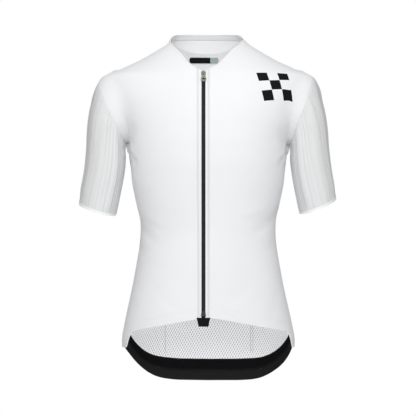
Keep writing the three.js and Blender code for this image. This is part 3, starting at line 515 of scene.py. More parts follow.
def fold_height(p):
    """How far the cloth stands off the plain form at a place."""
    height = np.zeros(p.shape[:-1])
    for a, b, reach, full in FOLD_LINES:
        along = np.clip(((p - a) @ (b - a)) / ((b - a) @ (b - a)), 0, 1)
        away = np.linalg.norm(p - (a + along[..., None] * (b - a)), axis=-1)
        taper = lerp(FOLD_END_SHARE, 1, np.sin(math.pi * lerp(0.15, 0.85, along)))
        height += bell(away, full * taper, reach)
    low = np.clip((RIPPLE_FADE - p[..., 2]) / (RIPPLE_FADE - RIPPLE_FULL), 0, 1)
    turn = np.arctan2(p[..., 1] - BODY_Y, p[..., 0])
    wave = np.sin(RIPPLE_WAVES * turn + RIPPLE_SHIFT) * np.sin(2 * turn + RIPPLE_SHIFT)
    return height + RIPPLE_HEIGHT * low * low * wave


def cloth(p):
    """Places on the cloth: outer points and the way the wall faces."""
    normal = form_normal(p)
    return p + normal * fold_height(p)[..., None], normal


def ring_middle(ring):
    return (ring[0] + ring[2]) / 2, (ring[1] + ring[3]) / 2


# Sleeve rings: share 0 is the armhole, 1 the bottom of the cuff
def ring_point(side, share, turn):
    """turn 0 is on top of the shoulder, 90 at the front, 180 under the arm, 270 behind."""
    share, turn = np.broadcast_arrays(np.asarray(share, float), np.asarray(turn, float))
    sign, shift, ring, cuff = (side[key] for key in ("sign", "shift", "armhole", "cuff"))
    lean_a, lean_c = (math.atan2(r[1] - r[3], r[0] - r[2]) for r in (ring, cuff))
    (mid_xa, mid_za), (mid_xc, mid_zc) = ring_middle(ring), ring_middle(cuff)
    angle = lerp(lean_a, lean_c, share**LEAN_EASE)
    z = lerp(mid_za, mid_zc, share)
    x = arm_x(shift, z) + lerp(mid_xa - arm_x(shift, mid_za), mid_xc - arm_x(shift, mid_zc), share)
    tilt = np.radians(CUFF_TILT * share * share)
    across = stack(sign * np.sin(angle), 0, -np.cos(angle))
    ahead = stack(0, -np.cos(tilt), 0) + across * np.sin(tilt)[..., None]
    up = stack(sign * np.cos(angle), 0, np.sin(angle))
    under = math.hypot(mid_xa - ring[2], mid_za - ring[3])
    radians = np.radians(turn)
    way = up * np.cos(radians)[..., None] + ahead * np.sin(radians)[..., None]
    down = -np.cos(radians)
    clipped = (share == 0) & (down > 0.1)
    limit = np.where(clipped, under / np.maximum(down, 0.1), REACH)
    return cloth(way_out(stack(sign * x, ARM["y"](z), z), way, 2, limit))


def sleeve_length(side):
    ends = []
    for ring in (side["armhole"], side["cuff"]):
        x, z = ring_middle(ring)
        ends.append(np.array([x, ARM["y"](z), z]))
    return float(np.linalg.norm(ends[0] - ends[1]))


def shoulder_point(side, top, share):
    """The shoulder seam runs along the widest line of the form, from the armhole to the neck."""
    sign = side["sign"]
    neck = body_point(sign, np.array([90.0]), np.array([float(side["neck_z"])]))[0]
    target = lerp(abs(top[0]), abs(neck[0]), share)
    low = np.full(share.shape, top[2])
    high = np.full(share.shape, float(side["neck_z"]))
    for _ in range(SEAM_HALVINGS):
        z = (low + high) / 2
        wide = np.abs(body_point(sign, np.full(share.shape, 90.0), z)[..., 0]) > target
        low = np.where(wide, z, low)
        high = np.where(wide, high, z)
    return cloth(body_point(sign, np.full(share.shape, 90.0), (low + high) / 2))


def neckline_point(side, share, front):
    sign, neck_z = side["sign"], side["neck_z"]
    near = ZIP_X + sign * ZIP_SLOT / 2 if front else 0
    far = sign * BODY["half_width"](neck_z) * math.sin(math.radians(NECK_TURN))
    z = lerp(NECK_BACK_Z, neck_z, share * share)
    if front:
        sag = NECK_SAG * np.sin(math.pi * np.minimum(share / NECK_SAG_END, 1)) ** 2
        z = lerp(NECK_FRONT_Z, neck_z, share) - sag
    return cloth(face_point(lerp(near, far, share), z, -1 if front else 1))


def front_hem_z(side, angle):
    flap = smooth_step(angle, side["flap_angle"], side["flap_angle"] + FLAP_TURN)
    sag = FRONT_HEM_SAG * np.sin(np.radians(np.abs(angle)))
    return FRONT_HEM_Z - sag - FLAP_DROP * flap


def tail_turn(angle):
    return np.maximum(180 - angle, 0) / (180 - SIDE_HEM_ANGLE)


def tail_hem_z(side, angle):
    return TAIL_Z + TAIL_RISE * TAIL[side["name"]](tail_turn(angle))


def band_width(angle):
    """The tail band and gripper are a little narrower where they slant up to the side."""
    share = np.clip((tail_turn(angle) - PINCH_START) / (1 - PINCH_START), 0, 1)
    return TAIL_BAND_TOP * (1 - BAND_PINCH * np.sin(math.pi * share) ** 2)


def split(stops, counts):
    """Even steps between neighbouring stops, each stretch with its own count."""
    parts = [np.linspace(a, b, n, endpoint=False) for a, b, n in zip(stops, stops[1:], counts)]
    return np.concatenate([*parts, [stops[-1]]])


class Half:
    """Half a front or back as a grid of outer points: rows from the hem up, columns outwards."""

    def __init__(self, side, front):
        self.side, self.front = side, front
        self.sign = side["sign"]
        self.way = -1 if front else 1
        self.near_x = ZIP_X + self.sign * ZIP_SLOT / 2 if front else 0
        self.under = tuple(v[0] for v in ring_point(side, np.zeros(1), np.array([180.0])))
        self.top = tuple(v[0] for v in ring_point(side, np.zeros(1), np.zeros(1)))
        parts = [self.body_rows(), self.armhole_rows(), self.shoulder_rows()]
        self.p = np.concatenate([part[0] for part in parts])
        self.n = np.concatenate([part[1] for part in parts])
        self.shoulder_from = len(self.p) - SHOULDER_STEPS * SHOULDER_SPLIT - 1

    def columns(self, start, end):
        """Angles of one row's columns: close beside the zip, then even."""
        first, last = body_angle(self.sign, start), body_angle(self.sign, end)
        even = np.linspace(0, 1, COLUMNS + 1)
        if not self.front:
            return first[:, None] + (last - first)[:, None] * even
        d = np.array(ZIP_COLUMNS)
        x = (self.sign * start[:, 0])[:, None] + d
        wide = BODY["half_width"](start[:, 2])[:, None]
        power = BODY["power"](start[:, 2])[:, None]
        close = np.degrees(np.arcsin(np.clip(np.abs(x) / wide, 0, 1) ** (power / 2))) * np.sign(x)
        close += first[:, None] - close[:, :1]
        most = first[:, None] + 0.5 * (last - first)[:, None] * np.arange(len(d)) / len(d)
        close = np.minimum(close, most)
        rest = np.linspace(0, 1, COLUMNS - len(d) + 2)[1:]
        outer = close[:, -1:] + (last[:, None] - close[:, -1:]) * rest
        return np.concatenate([close, outer], axis=1)

    def rows(self, start, end, start_base, end_base, z_at):
        angle = self.columns(start_base, end_base)
        first, last = angle[:, :1], angle[:, -1:]
        across = (angle - first) / (last - first)
        z = z_at(across, angle)
        p, n = cloth(body_point(self.sign, angle, z))
        p[:, 0], n[:, 0] = start
        p[:, -1], n[:, -1] = end
        return p, n

    def start_line(self, z):
        return face_point(np.full(len(z), float(self.near_x)), z, self.way)

    def body_rows(self):
        under_z = self.side["armhole"][3]
        tall = under_z - SIDE_HEM_Z
        band = TAIL_BAND_TOP / tall
        even = band + (1 - band) * np.arange(1, BODY_STEPS + 1) / BODY_STEPS
        stops = [0, GRIPPER_TALL / tall, band, *even]
        s = split(stops, [HEM_SPLIT, BAND_SPLIT] + [BODY_SPLIT] * BODY_STEPS)[:, None]
        band_share = np.minimum(s, band) / band
        above = np.maximum(s - band, 0) / (1 - band)

        def z_at(across, angle):
            level = lerp(WAIST_LINE_Z, under_z, across**2)
            if self.front:
                return lerp(front_hem_z(self.side, angle), level, s)
            return lerp(tail_hem_z(self.side, angle) + band_width(angle) * band_share, level, above)

        centre = np.full(s.shape, 0.0 if self.front else 180.0)
        start_base = self.start_line(z_at(0 * s, centre)[:, 0])
        side_z = lerp(SIDE_HEM_Z, under_z, s[:, 0])
        end_base = body_point(self.sign, lerp(SIDE_HEM_ANGLE, 90, s[:, 0]), side_z)
        miss = self.under[0] - cloth(end_base[-1:])[0][0]
        end_base = end_base + miss * smooth_step(s, 0.8, 1)
        end = cloth(end_base)
        end[0][-1], end[1][-1] = self.under
        grid = self.rows(cloth(start_base), end, start_base, end_base, z_at)
        return grid[0][:-1], grid[1][:-1]

    def armhole_rows(self):
        t = np.linspace(0, ARMHOLE_STEPS, ARMHOLE_STEPS * ARMHOLE_SPLIT + 1)
        turn = 180 / ARMHOLE_STEPS * (ARMHOLE_STEPS - t)
        end = ring_point(self.side, 0 * t, turn if self.front else 360 - turn)
        top_z = NECK_FRONT_Z if self.front else NECK_BACK_Z
        start_z = lerp(WAIST_LINE_Z, top_z, t / ARMHOLE_STEPS)
        start_base = self.start_line(start_z)
        power = (2 - np.minimum(t, 1))[:, None]
        rise = (end[0][:, 2] - start_z)[:, None]
        z_at = lambda across, angle: start_z[:, None] + rise * across**power
        grid = self.rows(cloth(start_base), end, start_base, end[0], z_at)
        return grid[0][:-1], grid[1][:-1]

    def shoulder_rows(self):
        t = np.linspace(0, SHOULDER_STEPS, SHOULDER_STEPS * SHOULDER_SPLIT + 1)
        share = t / SHOULDER_STEPS
        start = neckline_point(self.side, share, self.front)
        end = shoulder_point(self.side, self.top[0], share)
        miss = (self.top[0] - end[0][0]) * np.maximum(1 - t, 0)[:, None]
        end = (end[0] + miss, end[1])
        start_z, rise = start[0][:, 2][:, None], (end[0][:, 2] - start[0][:, 2])[:, None]
        return self.rows(start, end, start[0], end[0], lambda across, angle: start_z + rise * across)


def inset(p, first=False, last=False, start=False, end=False):
    """Edge points move a hair into their own piece, along its own grid lines."""
    shift = np.zeros_like(p)
    gap = SEWN_GAP / 2
    if first:
        shift[0] += gap * unit(p[1] - p[0])
    if last:
        shift[-1] += gap * unit(p[-2] - p[-1])
    if start:
        shift[:, 0] += gap * unit(p[:, 1] - p[:, 0])
    if end:
        shift[:, -1] += gap * unit(p[:, -2] - p[:, -1])
    return p + shift


# Meshes
def mesh_object(name, points, faces, coordinates=None):
    """A named mesh in metres. coordinates are each corner's place on the flat cloth, in mm."""
    mesh = bpy.data.meshes.new(name)
    mesh.from_pydata((points * MM).tolist(), [], faces)
    mesh.shade_smooth()
    if coordinates is not None:
        layer = mesh.uv_layers.new(name="Cloth")
        layer.data.foreach_set("uv", (coordinates * MM).astype(np.float32).ravel())
    made = bpy.data.objects.new(name, mesh)
    bpy.context.scene.collection.objects.link(made)
    return made


def along_rows(p):
    """Distance along each row from its first point."""
    steps = np.linalg.norm(np.diff(p, axis=1), axis=-1)
    return np.concatenate([np.zeros((len(p), 1)), np.cumsum(steps, axis=1)], axis=1)


def along_columns(p):
    return along_rows(p.transpose(1, 0, 2)).T


class Grid:
    """Outer points of a stretch of cloth, their facings and places on the flat cloth."""

    def __init__(self, p, n, across=None, up=None):
        self.p, self.n = p, n
        self.across = along_rows(p) if across is None else across
        self.up = along_columns(p) + p[:1, :, 2] if up is None else up

    def fields(self):
        return self.p, self.n, self.across, self.up

    def part(self, rows=slice(None), columns=slice(None)):
        return Grid(*(field[rows, columns] for field in self.fields()))

    def out(self, distance):
        distance = np.asarray(distance, float)[..., None]
        return Grid(self.p + self.n * distance, self.n, self.across, self.up)

    def trimmed(self, **edges):
        return Grid(inset(self.p, **edges), self.n, self.across, self.up)

    def mirrored_across(self):
        return Grid(self.p, self.n, -self.across, self.up)


def sheet(name, grids, thickness):
    """A closed wall of cloth under grids that are welded where they meet, with sharp cut edges."""
    points = np.concatenate([g.p.reshape(-1, 3) for g in grids])
    normals = np.concatenate([g.n.reshape(-1, 3) for g in grids])
    flat = np.concatenate([np.stack([g.across, g.up], axis=-1).reshape(-1, 2) for g in grids])
    quads, offset = [], 0
    for g in grids:
        rows, columns = g.across.shape
        ids = offset + np.arange(rows * columns).reshape(rows, columns)
        cells = np.stack([ids[:-1, :-1], ids[:-1, 1:], ids[1:, 1:], ids[1:, :-1]], axis=-1).reshape(-1, 4)
        a, b, c, d = cells[len(cells) // 2]
        facing = np.cross(points[c] - points[a], points[d] - points[b]) @ normals[a]
        quads.append(cells if facing > 0 else cells[:, ::-1])
        offset += rows * columns
    quads = np.concatenate(quads)
    _, first, weld = np.unique(np.round(points, 3), axis=0, return_index=True, return_inverse=True)
    weld = weld.reshape(-1)
    count = len(first)
    edges = np.concatenate([quads[:, [i, (i + 1) % 4]] for i in range(4)])
    welded = weld[edges]
    edges, welded = (e[welded[:, 0] != welded[:, 1]] for e in (edges, welded))
    lone = ~np.isin(welded[:, 0] * count + welded[:, 1], welded[:, 1] * count + welded[:, 0])
    rim, rim_ids = edges[lone], welded[lone]
    faces, corners = [], []
    for face, spots in zip(weld[quads].tolist(), quads.tolist()):
        if len(set(face)) < 4:
            kept = [i for i in range(4) if face[i] != face[i - 1]]
            face, spots = [face[i] for i in kept], [spots[i] for i in kept]
            if len(face) < 3:
                continue
        faces += [face, [i + count for i in reversed(face)]]
        corners += [*spots, *reversed(spots)]
    for (i, j), (a, b) in zip(rim_ids.tolist(), rim.tolist()):
        faces.append([j, i, i + count, j + count])
        corners += [b, a, a, b]
    outer = points[first]
    inner = outer - normals[first] * thickness
    made = mesh_object(name, np.concatenate([outer, inner]), faces, flat[corners])
    key = [2 * count, 1]
    cut = np.sort(np.concatenate([rim_ids, rim_ids + count]), axis=1) @ key
    ends = np.empty(len(made.data.edges) * 2, int)
    made.data.edges.foreach_get("vertices", ends)
    sharp = np.isin(np.sort(ends.reshape(-1, 2), axis=1) @ key, cut)
    made.data.edges.foreach_set("use_edge_sharp", sharp)
    return made


def edge_line(grid, edge, distance):
    """A line on the cloth at a distance in from one of a grid's edges, and its facings."""
    p, n = grid.p, grid.n
    if edge in ("start", "end"):
        p, n = p.transpose(1, 0, 2), n.transpose(1, 0, 2)
    if edge in ("last", "end"):
        p, n = p[::-1], n[::-1]
    along = along_columns(p)
    reached = np.nonzero(along[-1] > distance)[0]
    line, facing = (np.array([sample(distance, along[:, c], v[:, c]) for c in reached]) for v in (p, n))
    return line, unit(facing)


def even_places(line, facing, pitch):
    """Places at an even pitch along a line, with the way along it and the way the cloth faces."""
    steps = np.linalg.norm(np.diff(line, axis=0), axis=1)
    along = np.concatenate([[0], np.cumsum(steps)])
    spots = np.arange(pitch / 2, along[-1], pitch)
    out = unit(sample(spots, along, facing))
    way = unit(sample(spots + 0.5, along, line) - sample(spots - 0.5, along, line))
    way = unit(way - out * np.sum(way * out, axis=1, keepdims=True))
    return sample(spots, along, line), way, out


def bead(long, wide, tall, sides=6):
    """A small long bead of thread, pointed at both ends: points and faces."""
    turns = 2 * math.pi * np.arange(sides) / sides
    ring = stack(0, wide / 2 * np.cos(turns), tall / 2 * np.sin(turns))
    reach = np.array([long, 0, 0])
    points = np.concatenate([[-reach / 2], ring - 0.3 * reach, ring + 0.3 * reach, [reach / 2]])
    last = len(points) - 1
    faces = []
    for i in range(sides):
        j = (i + 1) % sides
        a, b, c, d = 1 + i, 1 + j, 1 + sides + j, 1 + sides + i
        faces += [[0, b, a], [a, b, c, d], [last, d, c]]
    return points, faces


def copies(name, template, places):
    """One mesh of a template at each place: x along the line, y across it, z off the cloth."""
    shape, faces = template
    blocks = []
    for at, way, out in places:
        axes = np.stack([way, np.cross(out, way), out], axis=1)
        blocks.append((at[:, None] + shape @ axes).reshape(-1, 3))
    points = np.concatenate(blocks)
    bases = range(0, len(points), len(shape))
    return mesh_object(name, points, [[base + v for v in face] for base in bases for face in faces])


# Materials
def set_inputs(tree, made, inputs):
    for key, value in inputs.items():
        if isinstance(value, bpy.types.NodeSocket):
            tree.links.new(value, made.inputs[key])
        else:
            made.inputs[key].default_value = value


class Shade:
    """A material's node tree, with short calls for the nodes that the finishes need."""

    def __init__(self, name, color, roughness, metallic=0.0, sheen=0.0, specular=0.5):
        self.material = bpy.data.materials.new(name)
        self.material.use_nodes = True
        self.tree = self.material.node_tree
        self.surface = self.tree.nodes["Principled BSDF"]
        inputs = {"Base Color": (*color, 1), "Roughness": roughness, "Metallic": metallic}
        inputs |= {"Sheen Weight": sheen, "Sheen Roughness": 0.4, "Specular IOR Level": specular}
        set_inputs(self.tree, self.surface, inputs)

    def add(self, kind, inputs=None, **settings):
        made = self.tree.nodes.new(kind)
        for key, value in settings.items():
            setattr(made, key, value)
        set_inputs(self.tree, made, inputs or {})
        return made

    def math(self, operation, a, b=0.0, c=0.0):
        return self.add("ShaderNodeMath", {0: a, 1: b, 2: c}, operation=operation).outputs[0]

    def plus(self, a, b):
        return self.math("ADD", a, b)

    def minus(self, a, b):
        return self.math("SUBTRACT", a, b)

    def times(self, a, b):
        return self.math("MULTIPLY", a, b)

    def places(self):
        """Across and up on the flat cloth, in millimetres."""
        uv = self.add("ShaderNodeUVMap", uv_map="Cloth").outputs[0]
        split = self.add("ShaderNodeSeparateXYZ", {0: uv})
        return (self.times(split.outputs[k], 1 / MM) for k in (0, 1))

    def cloudy(self, scale, detail=3.0):
        """Soft uneven patches over the whole object."""
        place = self.add("ShaderNodeTexCoord").outputs["Object"]
        return self.noise(place, scale, detail)

    def noise(self, vector, scale, detail):
        inputs = {"Vector": vector, "Scale": scale, "Detail": detail}
        return self.add("ShaderNodeTexNoise", inputs).outputs[0]

    def wave(self, value, pitch):
        """Runs from 0 to 1 and back over each pitch."""
        turn = self.math("MULTIPLY_ADD", value, 2 * math.pi / pitch)
        return self.math("MULTIPLY_ADD", self.math("SINE", turn), 0.5, 0.5)

    def between(self, value, low, high, to_low=0.0, to_high=1.0):
        inputs = {"Value": value, "From Min": low, "From Max": high, "To Min": to_low, "To Max": to_high}
        return self.add("ShaderNodeMapRange", inputs, interpolation_type="SMOOTHSTEP").outputs[0]

    def band(self, value, low, high, soft):
        """1 between low and high, fading over soft on both sides."""
        rise = self.between(value, low - soft / 2, low + soft / 2)
        fall = self.between(value, high - soft / 2, high + soft / 2, 1.0, 0.0)
        return self.times(rise, fall)

    def mix(self, share, a, b):
        made = self.add("ShaderNodeMix", data_type="RGBA")
        a, b = ((*v, 1) if isinstance(v, tuple) else v for v in (a, b))
        set_inputs(self.tree, made, {0: share, 6: a, 7: b})
        return made.outputs[2]

    def paint(self, share, a, b):
        """The surface's colour runs from a to b."""
        set_inputs(self.tree, self.surface, {"Base Color": self.mix(share, a, b)})

    def bump(self, height, distance, strength):
        """height from 0 to 1 stands for distance in millimetres. Gives the finished material."""
        inputs = {"Height": height, "Distance": distance * MM, "Strength": strength}
        made = self.add("ShaderNodeBump", inputs)
        set_inputs(self.tree, self.surface, {"Normal": made.outputs[0]})
        return self.material

    def knit(self, u, v):
        """Fine knit: columns of loops, with each course of loops a little rounded."""
        wale, course = self.wave(u, KNIT_WALE), self.wave(v, KNIT_COURSE)
        return self.math("MULTIPLY_ADD", wale, 0.7, self.times(course, 0.3))

    def lattice(self, u, v, pitch):
        """Slanted rows of narrow holes: near 1 in each hole, near 0 on the yarn between them."""
        wide = 2 * math.pi / pitch
        waves = []
        for across, up in ((0.87, -0.5), (0.74, 0.42)):
            turn = self.plus(self.times(u, across * wide), self.times(v, up * wide))
            waves.append(self.math("COSINE", turn))
        return self.between(self.math("MULTIPLY_ADD", waves[1], 0.5, waves[0]), -0.1, 1.35)


def darker(color, share):
    return tuple(share * part for part in color)


def front_finish(grey_band_from=5.4, mark=None):
    """White knit. A soft grey band runs on both sides of the zip: partly the dark tape showing faintly
    through the single cloth, partly painted shade of the trough over the tape's edge.
    """
    name = "front_cloth_knit" if mark is None else "front_cloth_knit_marked"
    shade = Shade(name, WHITE, 0.78, specular=0.12)
    u, v = shade.places()
    cloudy = shade.cloudy(9.0)
    color = shade.mix(shade.between(cloudy, 0.3, 0.7), WHITE, darker(WHITE, 0.975))
    # The grey band is partly the tape showing through and partly painted shade of the placket trough.
    tape = shade.times(shade.band(u, grey_band_from, grey_band_from + 4.2, 2.2), 0.85)
    if mark is None:
        shade.paint(tape, color, TAPE_AND_TROUGH_SHADE)
    else:
        shade.paint(chequer_mask(shade, u, v, mark), shade.mix(tape, color, TAPE_AND_TROUGH_SHADE), INK)
    set_inputs(shade.tree, shade.surface, {"Roughness": shade.between(cloudy, 0.2, 0.8, 0.66, 0.78)})
    return shade.bump(shade.knit(u, v), 0.12, 0.5)


def chequer_mask(shade, u, v, mark):
    """A plain three by three chequer, a little turned, around a place on the flat cloth."""
    turn = math.radians(MARK_TURN)
    du, dv = shade.minus(u, mark[0]), shade.minus(v, mark[1])
    across = shade.plus(shade.times(du, math.cos(turn)), shade.times(dv, math.sin(turn)))
    up = shade.minus(shade.times(dv, math.cos(turn)), shade.times(du, math.sin(turn)))
    cells = []
    for value in (across, up):
        cells.append(shade.math("FLOOR", shade.math("MULTIPLY_ADD", value, 1 / MARK_CELL, 1.5)))
    dark = shade.minus(1.0, shade.math("PINGPONG", shade.plus(*cells), 1.0))
    half = 1.5 * MARK_CELL
    inside = shade.times(shade.band(across, -half, half, 0.3), shade.band(up, -half, half, 0.3))
    return shade.times(dark, inside)


def mesh_finish(name, color, hole, roughness, sheen, specular):
    """Mesh cloth: small holes in slanted rows, closing towards the neck."""
    shade = Shade(name, color, roughness, sheen=sheen, specular=specular)
    u, v = shade.places()
    holes = shade.times(shade.lattice(u, v, MESH_PITCH), shade.between(v, *MESH_CLOSES, 0.08, 1.0))
    shade.paint(holes, color, hole)
    return shade.bump(shade.minus(1.0, holes), 0.25, 0.7)


def rib_finish(color=(0.79, 0.795, 0.80), painted_groove_shade=(0.58, 0.585, 0.59)):
    """White ribbed cloth with uneven grey stripes of painted shade, in step with the ribs' relief."""
    shade = Shade("sleeve_rib_knit", color, 0.75, specular=0.12)
    u, v = shade.places()
    drawn_out = shade.add("ShaderNodeCombineXYZ", {0: shade.times(u, 0.12), 1: shade.times(v, 0.004)})
    depth = shade.between(shade.noise(drawn_out.outputs[0], 1.0, 3.0), 0.35, 0.65, 0.0, 0.42)
    # Painted shade: uneven grey stripes in step with the ribs, darkest on one flank of each rib.
    shade.paint(shade.times(shade.minus(1.0, shade.wave(u, RIB_PITCH)), depth), color, painted_groove_shade)
    return shade.bump(shade.knit(u, v), 0.12, 0.5)


def plain_finish(name, color, roughness, sheen=0.2, bump=0.08, specular=0.5):
    """Smooth knit or elastic of one colour, a little cloudy."""
    shade = Shade(name, color, roughness, sheen=sheen, specular=specular)
    shade.paint(shade.between(shade.cloudy(14.0), 0.3, 0.7), color, darker(color, 0.95))
    return shade.bump(shade.knit(*shade.places()), bump, 0.5)


def gripper_finish(color=(0.006, 0.006, 0.0064), rib=(0.011, 0.011, 0.0116)):
    """Black elastic with fine upright ribs."""
    shade = Shade("gripper_elastic_band", color, 0.75, specular=0.1)
    ribs = shade.wave(next(shade.places()), 1.6)
    shade.paint(ribs, color, rib)
    return shade.bump(ribs, 0.25, 0.8)


def label_finish(pale=(0.42, 0.50, 0.46)):
    """A black pill with a pale grey-green end, both bare."""
    shade = Shade("label_print", INK, 0.6, specular=0.1)
    u, v = shade.places()
    shade.paint(shade.between(u, LABEL["pale_from"] - 0.2, LABEL["pale_from"] + 0.2), INK, pale)
    return shade.bump(shade.times(shade.wave(u, 0.5), shade.wave(v, 0.5)), 0.05, 0.4)


def metal_finish(color=(0.27, 0.265, 0.215), worn=(0.40, 0.39, 0.34)):
    """Dull grey-olive zinc, lightly worn."""
    shade = Shade("slider_metal", color, 0.34, metallic=1.0)
    wear = shade.cloudy(420.0, 4.0)
    shade.paint(shade.between(wear, 0.4, 0.65), color, worn)
    set_inputs(shade.tree, shade.surface, {"Roughness": shade.between(wear, 0.3, 0.7, 0.26, 0.46)})
    return shade.bump(wear, 0.04, 0.3)


def solid_finish(name, color, roughness):
    shade = Shade(name, color, roughness)
    grain = shade.cloudy(300.0)
    shade.paint(shade.between(grain, 0.35, 0.65), color, darker(color, 0.85))
    return shade.bump(grain, 0.03, 0.4)


FINISHES = {
    "front": front_finish(),
    "mesh": mesh_finish("back_mesh_knit", (0.97, 0.975, 0.985), (0.40, 0.405, 0.42), 0.75, 0.2, 0.5),
    "band": mesh_finish("tail_mesh_black", (0.003, 0.003, 0.0032), (0.008, 0.008, 0.0085), 0.85, 0.0, 0.05),
    "gripper": gripper_finish(),
    "rib": rib_finish(),
    "cuff": plain_finish("cuff_bonded_band", (0.96, 0.965, 0.975), 0.55, 0.1, 0.03),
    "collar": plain_finish("collar_knit", WHITE, 0.72),
    "binding": plain_finish("collar_binding_knit", (0.80, 0.805, 0.81), 0.75),
    "pocket": plain_finish("pocket_knit", (0.89, 0.895, 0.91), 0.72),
    "elastic": plain_finish("pocket_elastic_knit", (0.91, 0.915, 0.93), 0.6, 0.15, 0.15),
    "tape": plain_finish("zip_tape_weave", (0.007, 0.007, 0.0075), 0.8, 0, 0.2, 0.1),
    "coil": solid_finish("zip_coil_nylon", (0.006, 0.006, 0.0065), 0.6),
    "stop": solid_finish("zip_stop_nylon", (0.03, 0.03, 0.031), 0.42),
    "tab": plain_finish("hem_tab_weave", (0.008, 0.008, 0.0085), 0.8, 0, 0.2, 0.1),
    "label": label_finish(),
    "metal": metal_finish(),
    "white_thread": solid_finish("thread_white", (0.88, 0.885, 0.90), 0.6),
    "black_thread": solid_finish("thread_black", (0.012, 0.012, 0.0125), 0.7),
    # Divider thread: its dark grey is partly the thread and partly painted shade of the stitched groove.
    "grey_thread": solid_finish("thread_grey_and_groove_shade", (0.2, 0.2, 0.205), 0.6),
}


def dress(made, finish, node):
    """Gives a piece its finish in a material slot, hangs it on the garment body and hides the CAD part of
    the given node.
    """
    made.data.materials.clear()
    made.data.materials.append(FINISHES[finish])
    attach(made, "garment")
    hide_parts(node)


def cloth_piece(name, grids, wall, finish, fold=""):
    """A cut piece of cloth for the CAD node of its own name, with its flat size in metres."""
    made = sheet(f"cloth_{name}{fold}", grids, wall)
    dress(made, finish, name)


# The cloth
def placket_relief(grid):
    """A shallow trough on both sides of the zip, over the edge of the tape below."""
    away = np.abs(grid.p[..., 0] - ZIP_X)
    trough = sum(bell(away - at, depth, reach) for at, depth, reach in TAPE_DENTS)
    return -trough * smooth_step(-grid.p[..., 2], *TAPE_DENTS_START)


def hem_relief(grid):
    """The turned hem is a little thicker than the cloth above its stitching."""
    up = along_columns(grid.p)
    step = HEM_STEP * (1 - smooth_step(up, HEM_TURN - 2, HEM_TURN + 2))
    return step - bell(up - HEM_TURN, *HEM_DENT)


def seam_relief(grid, edge):
    """Cloth dips where it is drawn into a seam along one edge."""
    along = along_columns(grid.p) if edge == "first" else along_rows(grid.p)
    if edge == "end":
        along = along[:, -1:] - along
    return -bell(along, *SEAM_DENT)


def underarm_relief(grid, side):
    """The cloth is drawn in along the lower armhole seam, most of all in the armpit."""
    turns = np.linspace(*ARMPIT["turns"], ARMPIT["places"])[None]
    ring = ring_point(side, np.array([[0.0]]), turns)[0][0]
    depth = bell(ring[:, 2] - side["armhole"][3] - ARMPIT["above"], ARMPIT["depth"], ARMPIT["tall"])
    away = np.linalg.norm(grid.p[:, :, None] - ring[None, None], axis=-1)
    return -np.max(bell(away, depth, ARMPIT["reach"]), axis=-1)


HALVES = {side["name"]: {"front": Half(side, True), "back": Half(side, False)} for side in (RIGHT, LEFT)}
BACKS = {name: halves["back"] for name, halves in HALVES.items()}
for part in ("p", "n"):
    centre = getattr(BACKS["right"], part)[: BACKS["right"].shoulder_from + 1, 0]
    getattr(BACKS["left"], part)[: len(centre), 0] = centre


def front_grid(side):
    half = HALVES[side["name"]]["front"]
    across = along_rows(half.p)
    across[half.shoulder_from :] += np.abs(half.p[half.shoulder_from :, :1, 0] - half.near_x)
    grid = Grid(half.p, half.n, across).trimmed(end=True)
    drawn_in = seam_relief(grid, "end") + underarm_relief(grid, side)
    return grid.out(placket_relief(grid) + hem_relief(grid) + drawn_in)


FRONTS = {side["name"]: front_grid(side) for side in (RIGHT, LEFT)}


def make_fronts():
    left = FRONTS["left"]
    away = np.hypot(left.p[..., 0] - MARK_X, left.p[..., 2] - MARK_Z)
    spot = np.unravel_index(np.argmin(away), away.shape)
    FINISHES["marked"] = front_finish(4.2, (float(left.across[spot]), float(left.up[spot])))
    for name, finish in (("right", "front"), ("left", "marked")):
        cloth_piece(f"front_{name}", [FRONTS[name]], PANEL_WALL, finish)


def back_grids(from_row, to_row, **edges):
    grids = []
    for side in (RIGHT, LEFT):
        half = BACKS[side["name"]]
        grid = Grid(half.p, half.n).part(rows=slice(from_row, to_row)).trimmed(end=True, **edges)
        grid = grid.out(seam_relief(grid, "end") + underarm_relief(grid, side))
        grids.append(grid.mirrored_across() if side["sign"] < 0 else grid)
    return grids


def make_back():
    back = back_grids(BAND_ROW, None, first=True)
    cloth_piece("back", back, PANEL_WALL, "mesh")
    band = back_grids(GRIPPER_ROW, BAND_ROW + 1, first=True, last=True)
    cloth_piece("tail_band", band, PANEL_WALL, "band")
    gripper = back_grids(0, GRIPPER_ROW + 1, last=True)
    cloth_piece("hem_gripper", gripper, GRIPPER_WALL, "gripper")


def pocket_swell(grid, up_share):
    """Each pocket stands a little off the back between its stitched sides, most at the mouth."""
    x = grid.p[..., 0]
    edge = np.max(np.abs(x))
    left, right = DIVIDERS[0], DIVIDERS[1]
    low = np.where(x < left, -edge, np.where(x < right, left, right))
    high = np.where(x < left, left, np.where(x < right, right, edge))
    share = np.clip((x - low) / (high - low), 0, 1)
    return POCKET_SWELL * np.sin(math.pi * share) ** 0.8 * up_share**1.4


